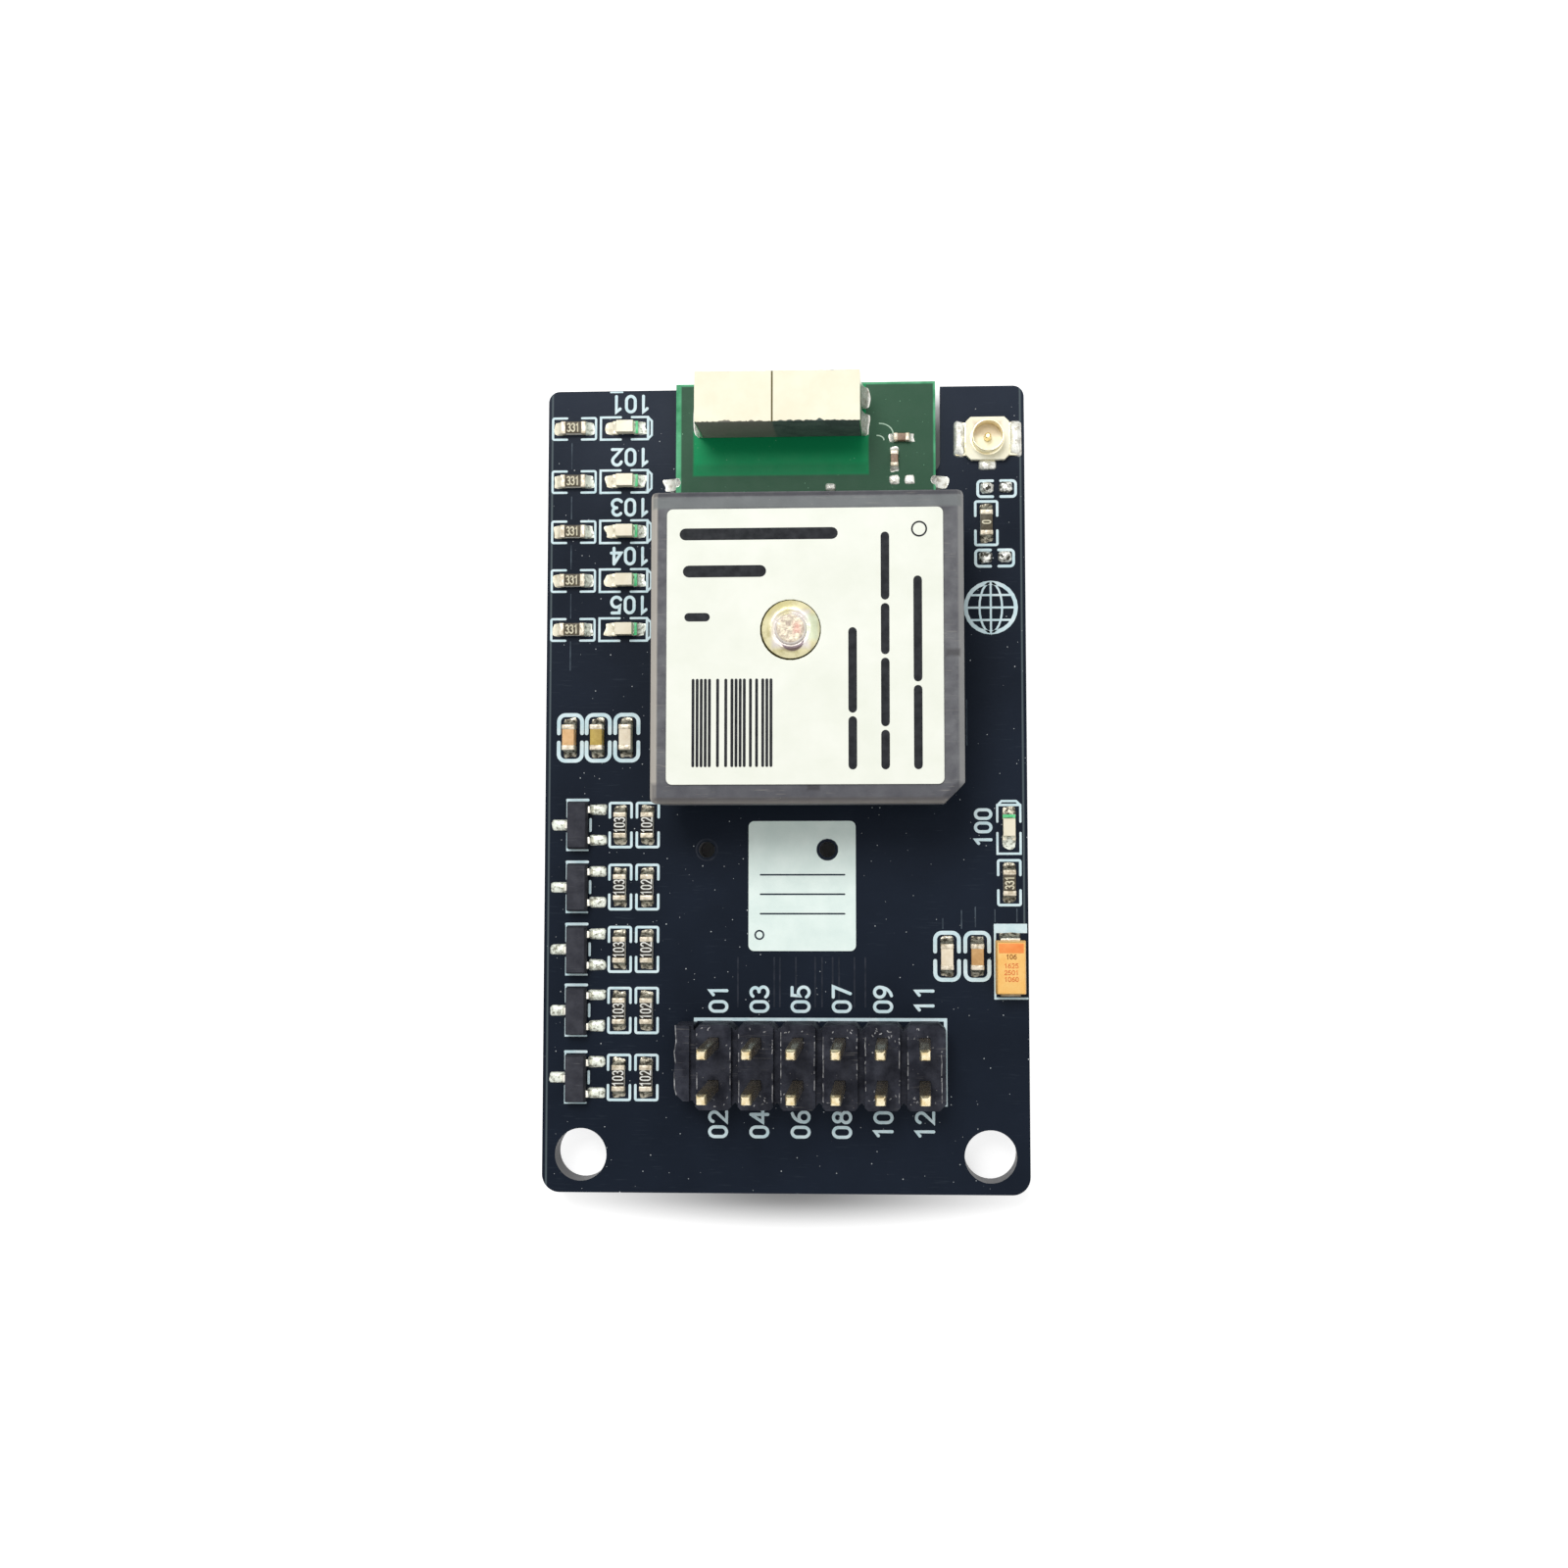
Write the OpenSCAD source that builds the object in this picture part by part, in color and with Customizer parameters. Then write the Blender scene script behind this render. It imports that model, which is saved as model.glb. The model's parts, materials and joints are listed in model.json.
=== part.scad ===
// Satellite positioning board: a carrier board that holds a receiver module with a ceramic patch
// antenna and a chip antenna, a coaxial socket, indicator lamps and a two-row pin header.
// Millimetres. Parts face +Z, the antenna end points along +Y, and the pin tails end at Z = 0.

/* [Carrier board] */
// Width of the carrier board
carrier_w = 30; // [30:0.5:34]
// Length of the carrier board
carrier_l = 50; // [50:0.5:56]
// Thickness of the carrier board
carrier_t = 1.6; // [1:0.2:2]
// Corner radius at the header end
carrier_foot_r = 1.1; // [0.6:0.1:1.6]
// Corner radius at the antenna end
carrier_head_r = 0.7; // [0.3:0.1:1.2]
// Diameter of the two mounting holes
mount_hole_d = 3.2; // [2.2:0.1:3.4]
// Distance between the two mounting holes
mount_spacing = 25.2; // [24:0.1:25.4]
// Distance of the mounting holes from the header end
mount_inset = 2.3; // [2.1:0.1:3]
// Depth of the cut-out under the antenna end of the module
notch_depth = 5.5; // [4:0.1:5.6]

/* [Receiver module] */
// Width of the module board
module_w = 16.2; // [15.8:0.1:16.6]
// Length of the module board
module_l = 26; // [25.4:0.1:27]
// Thickness of the module board
module_t = 0.9; // [0.6:0.1:1.2]
// How far the module sits to the right of the carrier's middle line
module_shift = 1.35; // [1:0.05:1.5]
// How far the module reaches past the antenna end of the carrier
module_overhang = 0.1; // [0:0.05:0.5]
// Height of the shield can on the module board
shield_h = 1.7; // [1.4:0.1:2.4]

/* [Patch antenna] */
// Side of the square ceramic patch
patch_side = 18.4; // [17.6:0.1:18.6]
// Thickness of the ceramic patch
patch_h = 4; // [2:0.5:5]
// Bevel around the top of the patch
patch_bevel = 0.35; // [0.15:0.05:0.6]
// Length of the cut at the marked corner of the patch
patch_corner_cut = 1.2; // [0.8:0.1:2]
// Side of the square label on the patch
label_side = 16.2; // [15.4:0.1:16.4]
// Diameter of the soldered head of the feed pin
feed_head_d = 3.4; // [2.6:0.1:3.8]

/* [Chip antenna] */
// Length of the chip antenna
chip_antenna_l = 10; // [8:0.1:10.2]
// Width of the chip antenna
chip_antenna_w = 3.1; // [2.6:0.1:3.3]
// Height of the chip antenna
chip_antenna_h = 4; // [2:0.1:4.5]

/* [Pin header] */
// Number of pin columns in the header
header_columns = 6; // [4:1:7]
// Distance between neighbouring pins
pin_pitch = 2.54; // [2, 2.54]
// Side of the square pins
pin_side = 0.64; // [0.5:0.02:0.64]
// Height of the header housing
housing_h = 2.54; // [2:0.02:2.54]
// Length of pin above the housing
pin_above = 6; // [4:0.5:8]
// Length of pin below the carrier board
pin_tail = 1.4; // [1:0.1:2]

/* [Coaxial socket] */
// Side of the socket's insulating base
coax_side = 2.7; // [2.5:0.1:2.9]
// Outside diameter of the socket's ring
coax_ring_d = 2; // [1.8:0.1:2.2]
// Height of the socket's ring above the carrier board
coax_h = 1.25; // [1:0.05:1.5]

/* [Chip parts] */
// Length of the resistors, capacitors and lamps
chip_l = 1.6; // [1.4:0.1:1.8]
// Width of the resistors, capacitors and lamps
chip_w = 0.8; // [0.6:0.05:0.9]
// Height of the chip resistors
resistor_h = 0.45; // [0.35:0.05:0.6]
// Height of the chip capacitors
capacitor_h = 0.8; // [0.5:0.05:0.9]
// Height of the lamps
lamp_h = 0.7; // [0.5:0.05:0.9]
// Length of the transistor bodies
transistor_l = 2.9; // [2.7:0.1:3]
// Width of the transistor bodies
transistor_w = 1.3; // [1.2:0.05:1.4]
// Height of the transistor bodies
transistor_h = 1; // [0.9:0.05:1.1]
// Length of the tantalum capacitor
tantalum_l = 3.5; // [3:0.1:3.6]
// Width of the tantalum capacitor
tantalum_w = 1.85; // [1.4:0.05:1.9]
// Height of the tantalum capacitor
tantalum_h = 1.6; // [1:0.1:1.8]

/* [Hidden] */
$fn = 48;
// Far enough for any cut to pass right through
through = 60;

// Layout of the carrier, measured from its lower left corner and from its edges
middle_x = carrier_w / 2;
probe_hole_d = 1;
probe_hole_x = [-4.85, 2.65];
probe_hole_y = 21;
notch_r = 0.8;
notch_tuck = 0.1;
notch_gap = 0.3;

// Rows of lamps, measured down from the antenna end
lamp_rows = [2.4, 5.8, 9, 12.1, 15.2];
lamp_count = len(lamp_rows);
lamp_x = 4.95;
lamp_resistor_x = 1.65;

// Rows of lamp drivers, measured up from the header end
driver_rows = [22.55, 18.7, 14.85, 11.1, 7];
driver_count = len(driver_rows);
transistor_x = 2.15;
base_resistor_x = 4.75;
pullup_resistor_x = 6.45;

// Supply parts
backup_cap_x = [1.55, 3.3, 5.1];
backup_cap_y = 28;
supply_cap_inset = [5, 3.15];
supply_cap_y = 14.45;
right_column_inset = 1.15;
power_lamp_y = 22.35;
power_resistor_y = 18.95;
tantalum_y = 13.83;
link_inset = 2.4;
link_drop = 8.7;

// Receiver module and what stands on it
module_x = middle_x + module_shift;
module_top_y = carrier_l + module_overhang;
castellation_r = 0.3;
castellation_count = 12;
castellation_pitch = 1.5;
castellation_drop = 6.2;
castellation_rise = 0.8 * module_t;
castellation_pad_w = 0.8;
shield_wall = 0.15;
shield_w = 15;
shield_l = 16.4;
shield_foot = 0.5;
shield_r = 0.5;
shield_y = module_top_y - module_l + shield_foot + shield_l / 2;
shield_hole_d = 2;
adhesive_t = 0.2;
adhesive_inset = 1;
patch_shift = 0.45;
patch_drop = 17.2;
patch_x = module_x + patch_shift;
patch_y = module_top_y - patch_drop;
patch_r = 0.4;
electrode_side = 14.6;
electrode_t = 0.05;
label_t = 0.12;
label_r = 0.35;
label_shift = -0.1;
feed_offset = [-0.9, 0.95];
feed_x = patch_x + feed_offset[0];
feed_y = patch_y + feed_offset[1];
feed_shank_d = 1;
feed_bore_d = 1.2;
feed_head_h = 0.5;
feed_rim_h = 0.12;
feed_slope_d = 2.2;
feed_slope_h = 0.34;
feed_groove_h = 0.28;
feed_boss_d = 1.9;
feed_flat_d = 1.7;
feed_label_gap = 0.1;
chip_antenna_shift = -1.45;
chip_antenna_drop = 1.85;
chip_antenna_x = module_x + chip_antenna_shift;
chip_antenna_y = module_top_y - chip_antenna_drop;
chip_plate_t = 0.05;
chip_plate_gap = 0.15;
chip_plate_split = -0.3;
chip_foot_w = 1.4;
chip_left_rise = 3.4;
chip_right_rise = 1;
match_l = 1;
match_w = 0.5;
match_h = 0.4;
match_cap_l = 0.25;
match_rise = 0.6 * match_h;
match_origin = [module_x, module_top_y];
match_inductor_at = match_origin + [6, -3.55];
match_capacitor_at = match_origin + [5.55, -4.9];
match_pads = [match_origin + [5.55, -6.18], match_origin + [6.48, -6.18]];
match_pad_r = 0.32;
match_pad_top_r = 0.24;
match_pad_h = 0.08;

// Parts under the shield can
receiver_side = 7;
receiver_h = 0.9;
can_middle = [module_x, shield_y];
receiver_at = can_middle + [2.8, -3.8];
receiver_key = 0.6;
oscillator_size = [2.5, 2, 0.8];
oscillator_at = can_middle + [-4, -4];
oscillator_lid = 0.15;
oscillator_lid_r = 0.2;
filter_size = [1.4, 1.1, 0.5];
filter_at = can_middle + [-2.5, 4.5];
filter_chamfer = 0.1;

// Heights above the carrier's top face
shield_z = module_t;
adhesive_z = shield_z + shield_h;
patch_z = adhesive_z + adhesive_t;
patch_top_z = patch_z + patch_h;

// Header
header_shift = -4.1;
header_x = middle_x + header_shift;
header_y = 6.88;
// The housing sits a little off the middle of its pins, towards the header end
housing_shift = -0.2;
header_rows = 2;
cell_chamfer = 0.4;
groove_w = 0.4;
groove_depth = 0.5;
stub_l = 1.15;
stub_drop = 0.1;
// Broken edge of the stub: shares of its length and of half the cell length
stub_edge = [
    [0.95, 0.98], [0.9, 0.6], [1, 0.35], [0.93, 0.1], [1, -0.15], [0.97, -0.5], [0.88, -0.64], [0.5, -0.8]
];
pin_point = 0.36;
pin_taper = 0.5;
pin_hole_d = 1;
joint_foot_r = 0.85;
joint_tip_r = 0.52;
joint_h = 0.8;

// Coaxial socket
coax_inset = 2.3;
coax_drop = 3.4;
coax_x = carrier_w - coax_inset;
coax_y = carrier_l - coax_drop;
coax_base_h = 0.4;
coax_chamfer = 0.3;
coax_wall = 0.1;
coax_flange = 0.06;
coax_tab_t = 0.15;
coax_tab_w = 2.1;
coax_tab_reach = 2;
coax_pin_d = 0.45;
coax_pin_h = 1.05;
coax_signal_w = 0.9;
coax_signal_reach = 1.75;
coax_signal_t = 0.12;
coax_solder_run = 0.78;
coax_solder_rise = 0.36;
coax_solder_w = 2.3;
coax_signal_run = 0.55;
coax_signal_solder_w = 1.1;

// Chip part details
cap_l = 0.3;
cap_proud = 0.03;
lamp_base_h = 0.28;
lamp_notch_r = 0.2;
lens_l = 1.16;
lens_top_l = 1.04;
lead_w = 0.42;
lead_t = 0.12;
lead_reach = 0.55;
lead_foot = 0.3;
lead_z = 0.45;
lead_span = 1.9;
body_draft = 0.08;
body_lift = 0.06;
body_band = 0.14;
tantalum_lead_w = 1.2;
tantalum_lead_t = 0.12;
tantalum_lead_foot = 0.8;
tantalum_lead_h = 0.7;

// Solder: shares of run and rise at the bend of its hollow face, and how high it climbs each part
fillet_run = 0.42;
fillet_toe = 0.04;
fillet_bend = [0.4, 0.35];
resistor_rise = 0.75 * resistor_h;
capacitor_rise = 0.55 * capacitor_h;
tantalum_rise = 0.7 * tantalum_lead_h;
lead_pad_w = 0.62;
bare_pad_inset = [2.35, 1.16, 2.48, 1.26];
bare_pad_drop = [6.46, 6.43, 10.86, 10.83];
bare_pad_r = 0.42;
bare_pad_top_r = 0.28;
bare_pad_h = 0.2;

// Colours
mask_black = [0.12, 0.14, 0.18];
mask_green = [0.16, 0.42, 0.29];
tin = [0.82, 0.82, 0.8];
gold = [0.9, 0.8, 0.5];
ceramic_grey = [0.42, 0.42, 0.44];
alumina = [0.93, 0.91, 0.86];
resin_black = [0.13, 0.12, 0.13];
cream = [0.98, 0.95, 0.86];
capacitor_tan = [0.8, 0.66, 0.42];
ceramic_brown = [0.6, 0.5, 0.4];
ceramic_dark = [0.2, 0.2, 0.18];
resin_orange = [0.98, 0.7, 0.32];
pad_white = [0.9, 0.9, 0.87];

function numbered(name, count) = [for (i = [1:count]) str(name, "_", i)];

// Moves a thing from the carrier's lower left corner and top face to the frame of the whole board
module on_board() {
    translate([-carrier_w / 2, -(carrier_l + module_overhang) / 2, pin_tail + carrier_t]) children();
}

// Puts a thing at a place on the board, turned by a quarter turn where it lies along Y
module at(place, z = 0, along_y = false) {
    on_board() translate([place[0], place[1], z]) rotate([0, 0, along_y ? 90 : 0]) children();
}

// Flat rectangle with rounded corners, centred
module rounded_rect(w, l, r) {
    square([w - 2 * r, l], center = true);
    square([w, l - 2 * r], center = true);
    for (sx = [-1, 1], sy = [-1, 1]) translate([sx * (w / 2 - r), sy * (l / 2 - r)]) circle(r);
}

// Flat rectangle with its four corners cut at 45 degrees, centred
module chamfered_rect(w, l, c) {
    x = w / 2;
    y = l / 2;
    polygon([
        [c - x, -y], [x - c, -y], [x, c - y], [x, y - c], [x - c, y], [c - x, y], [-x, y - c], [-x, c - y]
    ]);
}

// Solid whose front view and side view are the two given outlines
module two_view_solid(front, side) {
    intersection() {
        rotate([90, 0, 0]) linear_extrude(through, center = true) polygon(front);
        rotate([90, 0, 90]) linear_extrude(through, center = true) polygon(side);
    }
}

// Outline of a block with a bevel round its top
function bevelled_outline(half, h, bevel) = [
    [-half, 0], [half, 0], [half, h - bevel], [half - bevel, h], [bevel - half, h], [-half, h - bevel]
];

// Outline of a moulded block that is widest at its parting band
function moulded_outline(half, z0, band_z, h) = [
    [body_draft - half, z0], [half - body_draft, z0], [half, band_z], [half, band_z + body_band],
    [half - body_draft, h], [body_draft - half, h], [-half, band_z + body_band], [-half, band_z]
];

// Outline of a square pin with both ends tapered
function pin_outline(low, high) = [
    [-pin_point / 2, low], [pin_point / 2, low], [pin_side / 2, low + pin_taper],
    [pin_side / 2, high - pin_taper], [pin_point / 2, high], [-pin_point / 2, high],
    [-pin_side / 2, high - pin_taper], [-pin_side / 2, low + pin_taper]
];

// Chip part that lies along X: a ceramic body between two metal end caps
module chip_part(l, w, h, cap, body_color) {
    color(body_color)
        translate([-l / 2 + cap_proud, -w / 2 + cap_proud, cap_proud])
            cube([l - 2 * cap_proud, w - 2 * cap_proud, h - 2 * cap_proud]);
    color(tin)
        for (side = [0, 1])
            mirror([side, 0, 0]) translate([l / 2 - cap, -w / 2, 0]) cube([cap, w, h]);
}

module chip_resistor() {
    chip_part(chip_l, chip_w, resistor_h, cap_l, resin_black);
}

module chip_capacitor() {
    chip_part(chip_l, chip_w, capacitor_h, cap_l, capacitor_tan);
}

// Lamp that lies along X: a base with a half-round notch in each end, and a resin lens on its middle
module chip_lamp() {
    difference() {
        chip_part(chip_l, chip_w, lamp_base_h, cap_l, alumina);
        for (side = [-1, 1])
            translate([side * chip_l / 2, 0, -1]) cylinder(h = lamp_base_h + 2, r = lamp_notch_r);
    }
    color(cream)
        rotate([90, 0, 0])
            linear_extrude(chip_w - 2 * cap_proud, center = true)
                polygon([
                    [-lens_l / 2, lamp_base_h / 2], [lens_l / 2, lamp_base_h / 2],
                    [lens_top_l / 2, lamp_h], [-lens_top_l / 2, lamp_h]
                ]);
}

// Hollow-faced wedge of solder that rises to the left, its foot running out along +X
module solder_wedge(run, rise, w) {
    rotate([90, 0, 0])
        linear_extrude(w, center = true)
            polygon([
                [0, 0], [run, 0], [run, fillet_toe], [run * fillet_bend[0], rise * fillet_bend[1]], [0, rise]
            ]);
}

// Wedges at both ends of a chip part that lies along X
module end_wedges(l, rise, w) {
    for (side = [0, 1])
        mirror([side, 0, 0]) translate([l / 2, 0, 0]) solder_wedge(fillet_run, rise, w);
}

// Carrier board with its mounting holes, probe holes, pin holes and the cut-out under the antenna
module carrier_board() {
    color(mask_black) on_board() translate([0, 0, -carrier_t]) difference() {
        linear_extrude(carrier_t) carrier_outline();
        for (side = [-1, 1])
            translate([middle_x + side * mount_spacing / 2, mount_inset, -1])
                cylinder(h = carrier_t + 2, d = mount_hole_d);
        for (x = probe_hole_x)
            translate([middle_x + x, probe_hole_y, -1]) cylinder(h = carrier_t + 2, d = probe_hole_d);
        each_pin() translate([0, 0, -1]) cylinder(h = carrier_t + 2, d = pin_hole_d);
    }
}

module carrier_outline() {
    notch_left = module_x - module_w / 2 + notch_tuck;
    notch_right = module_x + module_w / 2 + notch_gap;
    difference() {
        union() {
            translate([carrier_foot_r, 0]) square([carrier_w - 2 * carrier_foot_r, carrier_l / 2]);
            translate([0, carrier_foot_r]) square([carrier_w, carrier_l - carrier_foot_r - carrier_head_r]);
            translate([carrier_head_r, carrier_l / 2])
                square([carrier_w - 2 * carrier_head_r, carrier_l / 2]);
            for (x = [carrier_foot_r, carrier_w - carrier_foot_r])
                translate([x, carrier_foot_r]) circle(carrier_foot_r);
            for (x = [carrier_head_r, carrier_w - carrier_head_r])
                translate([x, carrier_l - carrier_head_r]) circle(carrier_head_r);
        }
        translate([notch_left + notch_r, carrier_l - notch_depth])
            square([notch_right - notch_left - 2 * notch_r, notch_depth + 1]);
        translate([notch_left, carrier_l - notch_depth + notch_r])
            square([notch_right - notch_left, notch_depth + 1]);
        for (x = [notch_left + notch_r, notch_right - notch_r])
            translate([x, carrier_l - notch_depth + notch_r]) circle(notch_r);
    }
}

// Repeats a thing at every pin of the header, in the frame of the carrier
module each_pin() {
    for (row = [0:header_rows - 1], column = [0:header_columns - 1])
        translate([header_x + column * pin_pitch, header_y + row * pin_pitch, 0]) children();
}

// Repeats a thing at every castellation, facing out of the right side and mirrored on the left
module each_castellation() {
    for (side = [0, 1], i = [0:castellation_count - 1])
        at([module_x, module_top_y - castellation_drop - i * castellation_pitch])
            mirror([side, 0, 0]) translate([module_w / 2, 0, 0]) children();
}

// Module board with half-round plated notches down both sides
module module_board() {
    color(mask_green) difference() {
        at([module_x - module_w / 2, module_top_y - module_l]) cube([module_w, module_l, module_t]);
        each_castellation() translate([0, 0, -1]) cylinder(h = module_t + 2, r = castellation_r);
    }
}

// Solder that fills each notch and runs out on the carrier's pad
module module_solder() {
    color(tin) each_castellation() {
        intersection() {
            cylinder(h = module_t, r = castellation_r);
            translate([-castellation_r, -castellation_r, 0])
                cube([castellation_r, 2 * castellation_r, module_t]);
        }
        solder_wedge(2 * fillet_run, castellation_rise, castellation_pad_w);
    }
}

// Folded shield can, open at its foot, with a hole for the feed pin
module module_shield() {
    color(tin) difference() {
        at(can_middle, shield_z)
            linear_extrude(shield_h) rounded_rect(shield_w, shield_l, shield_r);
        at(can_middle, shield_z - 1)
            linear_extrude(shield_h - shield_wall + 1)
                rounded_rect(shield_w - 2 * shield_wall, shield_l - 2 * shield_wall, shield_r - shield_wall);
        at([feed_x, feed_y], shield_z) cylinder(h = shield_h + 1, d = shield_hole_d);
    }
}

// Receiver package with a cut corner that marks its first contact
module receiver_chip() {
    half = receiver_side / 2;
    color(resin_black) at(receiver_at, shield_z)
        linear_extrude(receiver_h)
            polygon([
                [-half, -half], [half, -half], [half, half], [receiver_key - half, half],
                [-half, half - receiver_key]
            ]);
}

// Oscillator: ceramic tray with a metal lid
module crystal_oscillator() {
    w = oscillator_size[0];
    l = oscillator_size[1];
    tray_h = oscillator_size[2] - oscillator_lid;
    at(oscillator_at, shield_z) {
        color(alumina) translate([-w / 2, -l / 2, 0]) cube([w, l, tray_h]);
        color(tin)
            translate([0, 0, tray_h])
                linear_extrude(oscillator_lid)
                    rounded_rect(w - oscillator_lid, l - oscillator_lid, oscillator_lid_r);
    }
}

module saw_filter() {
    color(alumina) at(filter_at, shield_z)
        linear_extrude(filter_size[2]) chamfered_rect(filter_size[0], filter_size[1], filter_chamfer);
}

// Sticky pad between the shield can and the patch
module antenna_adhesive() {
    color(pad_white) difference() {
        at(can_middle, adhesive_z)
            linear_extrude(adhesive_t)
                rounded_rect(shield_w - adhesive_inset, shield_l - adhesive_inset, shield_r);
        at([feed_x, feed_y], adhesive_z - 1) cylinder(h = adhesive_t + 2, d = shield_hole_d);
    }
}

// Ceramic patch: bevelled top, rounded corners, one corner cut, and a bore for the feed pin
module patch_ceramic() {
    half = patch_side / 2;
    outline = bevelled_outline(half, patch_h, patch_bevel);
    cut_reach = (patch_side - patch_corner_cut) * sqrt(0.5);
    color(ceramic_grey) difference() {
        at([patch_x, patch_y], patch_z) intersection() {
            linear_extrude(patch_h) rounded_rect(patch_side, patch_side, patch_r);
            two_view_solid(outline, outline);
            rotate([90, 0, -45])
                linear_extrude(through, center = true)
                    polygon([
                        [-through, 0], [cut_reach, 0], [cut_reach, patch_h - patch_bevel],
                        [cut_reach - patch_bevel, patch_h], [-through, patch_h]
                    ]);
        }
        at([feed_x, feed_y], patch_z - 1) cylinder(h = patch_h + 2, d = feed_bore_d);
    }
}

// Printed silver electrode on top of the patch
module patch_electrode() {
    color(tin) difference() {
        at([patch_x, patch_y], patch_top_z)
            linear_extrude(electrode_t) rounded_rect(electrode_side, electrode_side, label_r);
        at([feed_x, feed_y], patch_top_z - 1) cylinder(h = electrode_t + 2, d = feed_bore_d);
    }
}

// Label that lies over the electrode, with a round hole for the feed pin's head
module patch_label() {
    color(cream) difference() {
        at([patch_x + label_shift, patch_y], patch_top_z)
            linear_extrude(label_t) rounded_rect(label_side, label_side, label_r);
        at([patch_x, patch_y], patch_top_z - 1)
            linear_extrude(electrode_t + 1) rounded_rect(electrode_side, electrode_side, label_r);
        at([feed_x, feed_y], patch_top_z - 1)
            cylinder(h = label_t + 2, d = feed_head_d + 2 * feed_label_gap);
    }
}

// Feed pin: shank from the module board up through the patch, and a soldered head with a rim, a groove
// and a raised boss
module feed_pin() {
    seat = patch_top_z + electrode_t - module_t;
    color(gold) at([feed_x, feed_y], module_t)
        rotate_extrude()
            polygon([
                [0, 0], [feed_shank_d / 2, 0], [feed_shank_d / 2, seat], [feed_head_d / 2, seat],
                [feed_head_d / 2, seat + feed_rim_h], [feed_slope_d / 2, seat + feed_slope_h],
                [feed_boss_d / 2, seat + feed_groove_h], [feed_flat_d / 2, seat + feed_head_h],
                [0, seat + feed_head_h]
            ]);
}

// Chip antenna: dark ceramic block
module chip_antenna() {
    color(ceramic_dark) at([chip_antenna_x, chip_antenna_y], module_t)
        translate([-chip_antenna_l / 2 + chip_plate_t, -chip_antenna_w / 2, 0])
            cube([chip_antenna_l - 2 * chip_plate_t, chip_antenna_w, chip_antenna_h - chip_plate_t]);
}

// Two printed plates on top of the chip antenna, each folded down over one end
module chip_antenna_plates() {
    half = chip_antenna_l / 2;
    split_left = chip_plate_split - chip_plate_gap / 2;
    split_right = chip_plate_split + chip_plate_gap / 2;
    color(cream) at([chip_antenna_x, chip_antenna_y], module_t) {
        translate([-half, -chip_antenna_w / 2, chip_antenna_h - chip_plate_t])
            cube([half + split_left, chip_antenna_w, chip_plate_t]);
        translate([-half, -chip_antenna_w / 2, 0]) cube([chip_plate_t, chip_antenna_w, chip_antenna_h]);
        translate([split_right, -chip_antenna_w / 2, chip_antenna_h - chip_plate_t])
            cube([half - split_right, chip_antenna_w, chip_plate_t]);
        for (y = [-chip_antenna_w / 2, chip_antenna_w / 2 - chip_foot_w])
            translate([half - chip_plate_t, y, 0]) cube([chip_plate_t, chip_foot_w, chip_antenna_h]);
    }
}

// Solder at the feet of the chip antenna, at the two matching parts and on two bare pads beside them
module antenna_solder() {
    color(tin) {
        at([chip_antenna_x, chip_antenna_y], module_t) {
            translate([-chip_antenna_l / 2, 0, 0])
                mirror([1, 0, 0]) solder_wedge(fillet_run, chip_left_rise, chip_antenna_w);
            for (side = [-1, 1])
                translate([chip_antenna_l / 2, side * (chip_antenna_w - chip_foot_w) / 2, 0])
                    solder_wedge(fillet_run, chip_right_rise, chip_foot_w);
        }
        at(match_inductor_at, module_t) end_wedges(match_l, match_rise, match_w);
        at(match_capacitor_at, module_t, along_y = true) end_wedges(match_l, match_rise, match_w);
        for (place = match_pads)
            at(place, module_t) cylinder(h = match_pad_h, r1 = match_pad_r, r2 = match_pad_top_r);
    }
}

module match_inductor() {
    at(match_inductor_at, module_t) chip_part(match_l, match_w, match_h, match_cap_l, ceramic_grey);
}

module match_capacitor() {
    at(match_capacitor_at, module_t, along_y = true)
        chip_part(match_l, match_w, match_h, match_cap_l, ceramic_brown);
}

// Ground ring of the coaxial socket and its two side tabs
module coax_shell() {
    color(gold) at([coax_x, coax_y]) {
        coax_ring();
        coax_tabs();
    }
}

// Ring with a flange that the insulating base holds
module coax_ring() {
    translate([0, 0, coax_tab_t]) difference() {
        union() {
            cylinder(h = coax_h - coax_tab_t, d = coax_ring_d);
            cylinder(h = coax_base_h - coax_tab_t, d = coax_ring_d + 2 * coax_flange);
        }
        translate([0, 0, -1]) cylinder(h = coax_h + 2, d = coax_ring_d - 2 * coax_wall);
    }
}

module coax_tabs() {
    tab_start = coax_ring_d / 2 - 2 * coax_wall;
    for (side = [0, 1])
        mirror([side, 0, 0])
            translate([tab_start, -coax_tab_w / 2, 0])
                cube([coax_tab_reach - tab_start, coax_tab_w, coax_tab_t]);
}

// Centre contact of the coaxial socket and its solder tab
module coax_contact() {
    color(gold) at([coax_x, coax_y]) coax_contact_form();
}

module coax_contact_form() {
    cylinder(h = coax_pin_h, d = coax_pin_d);
    translate([-coax_signal_w / 2, -coax_signal_reach, 0])
        cube([coax_signal_w, coax_signal_reach, coax_signal_t]);
}

// Insulating base, moulded around the ring, the tabs and the contact
module coax_insulator() {
    color(cream) at([coax_x, coax_y]) difference() {
        linear_extrude(coax_base_h) chamfered_rect(coax_side, coax_side, coax_chamfer);
        coax_ring();
        coax_tabs();
        coax_contact_form();
    }
}

module status_led(i) {
    at([lamp_x, carrier_l - lamp_rows[i - 1]]) chip_lamp();
}

module led_resistor(i) {
    at([lamp_resistor_x, carrier_l - lamp_rows[i - 1]]) chip_resistor();
}

module power_led() {
    at([carrier_w - right_column_inset, power_lamp_y], along_y = true) chip_lamp();
}

module power_led_resistor() {
    at([carrier_w - right_column_inset, power_resistor_y], along_y = true) chip_resistor();
}

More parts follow.
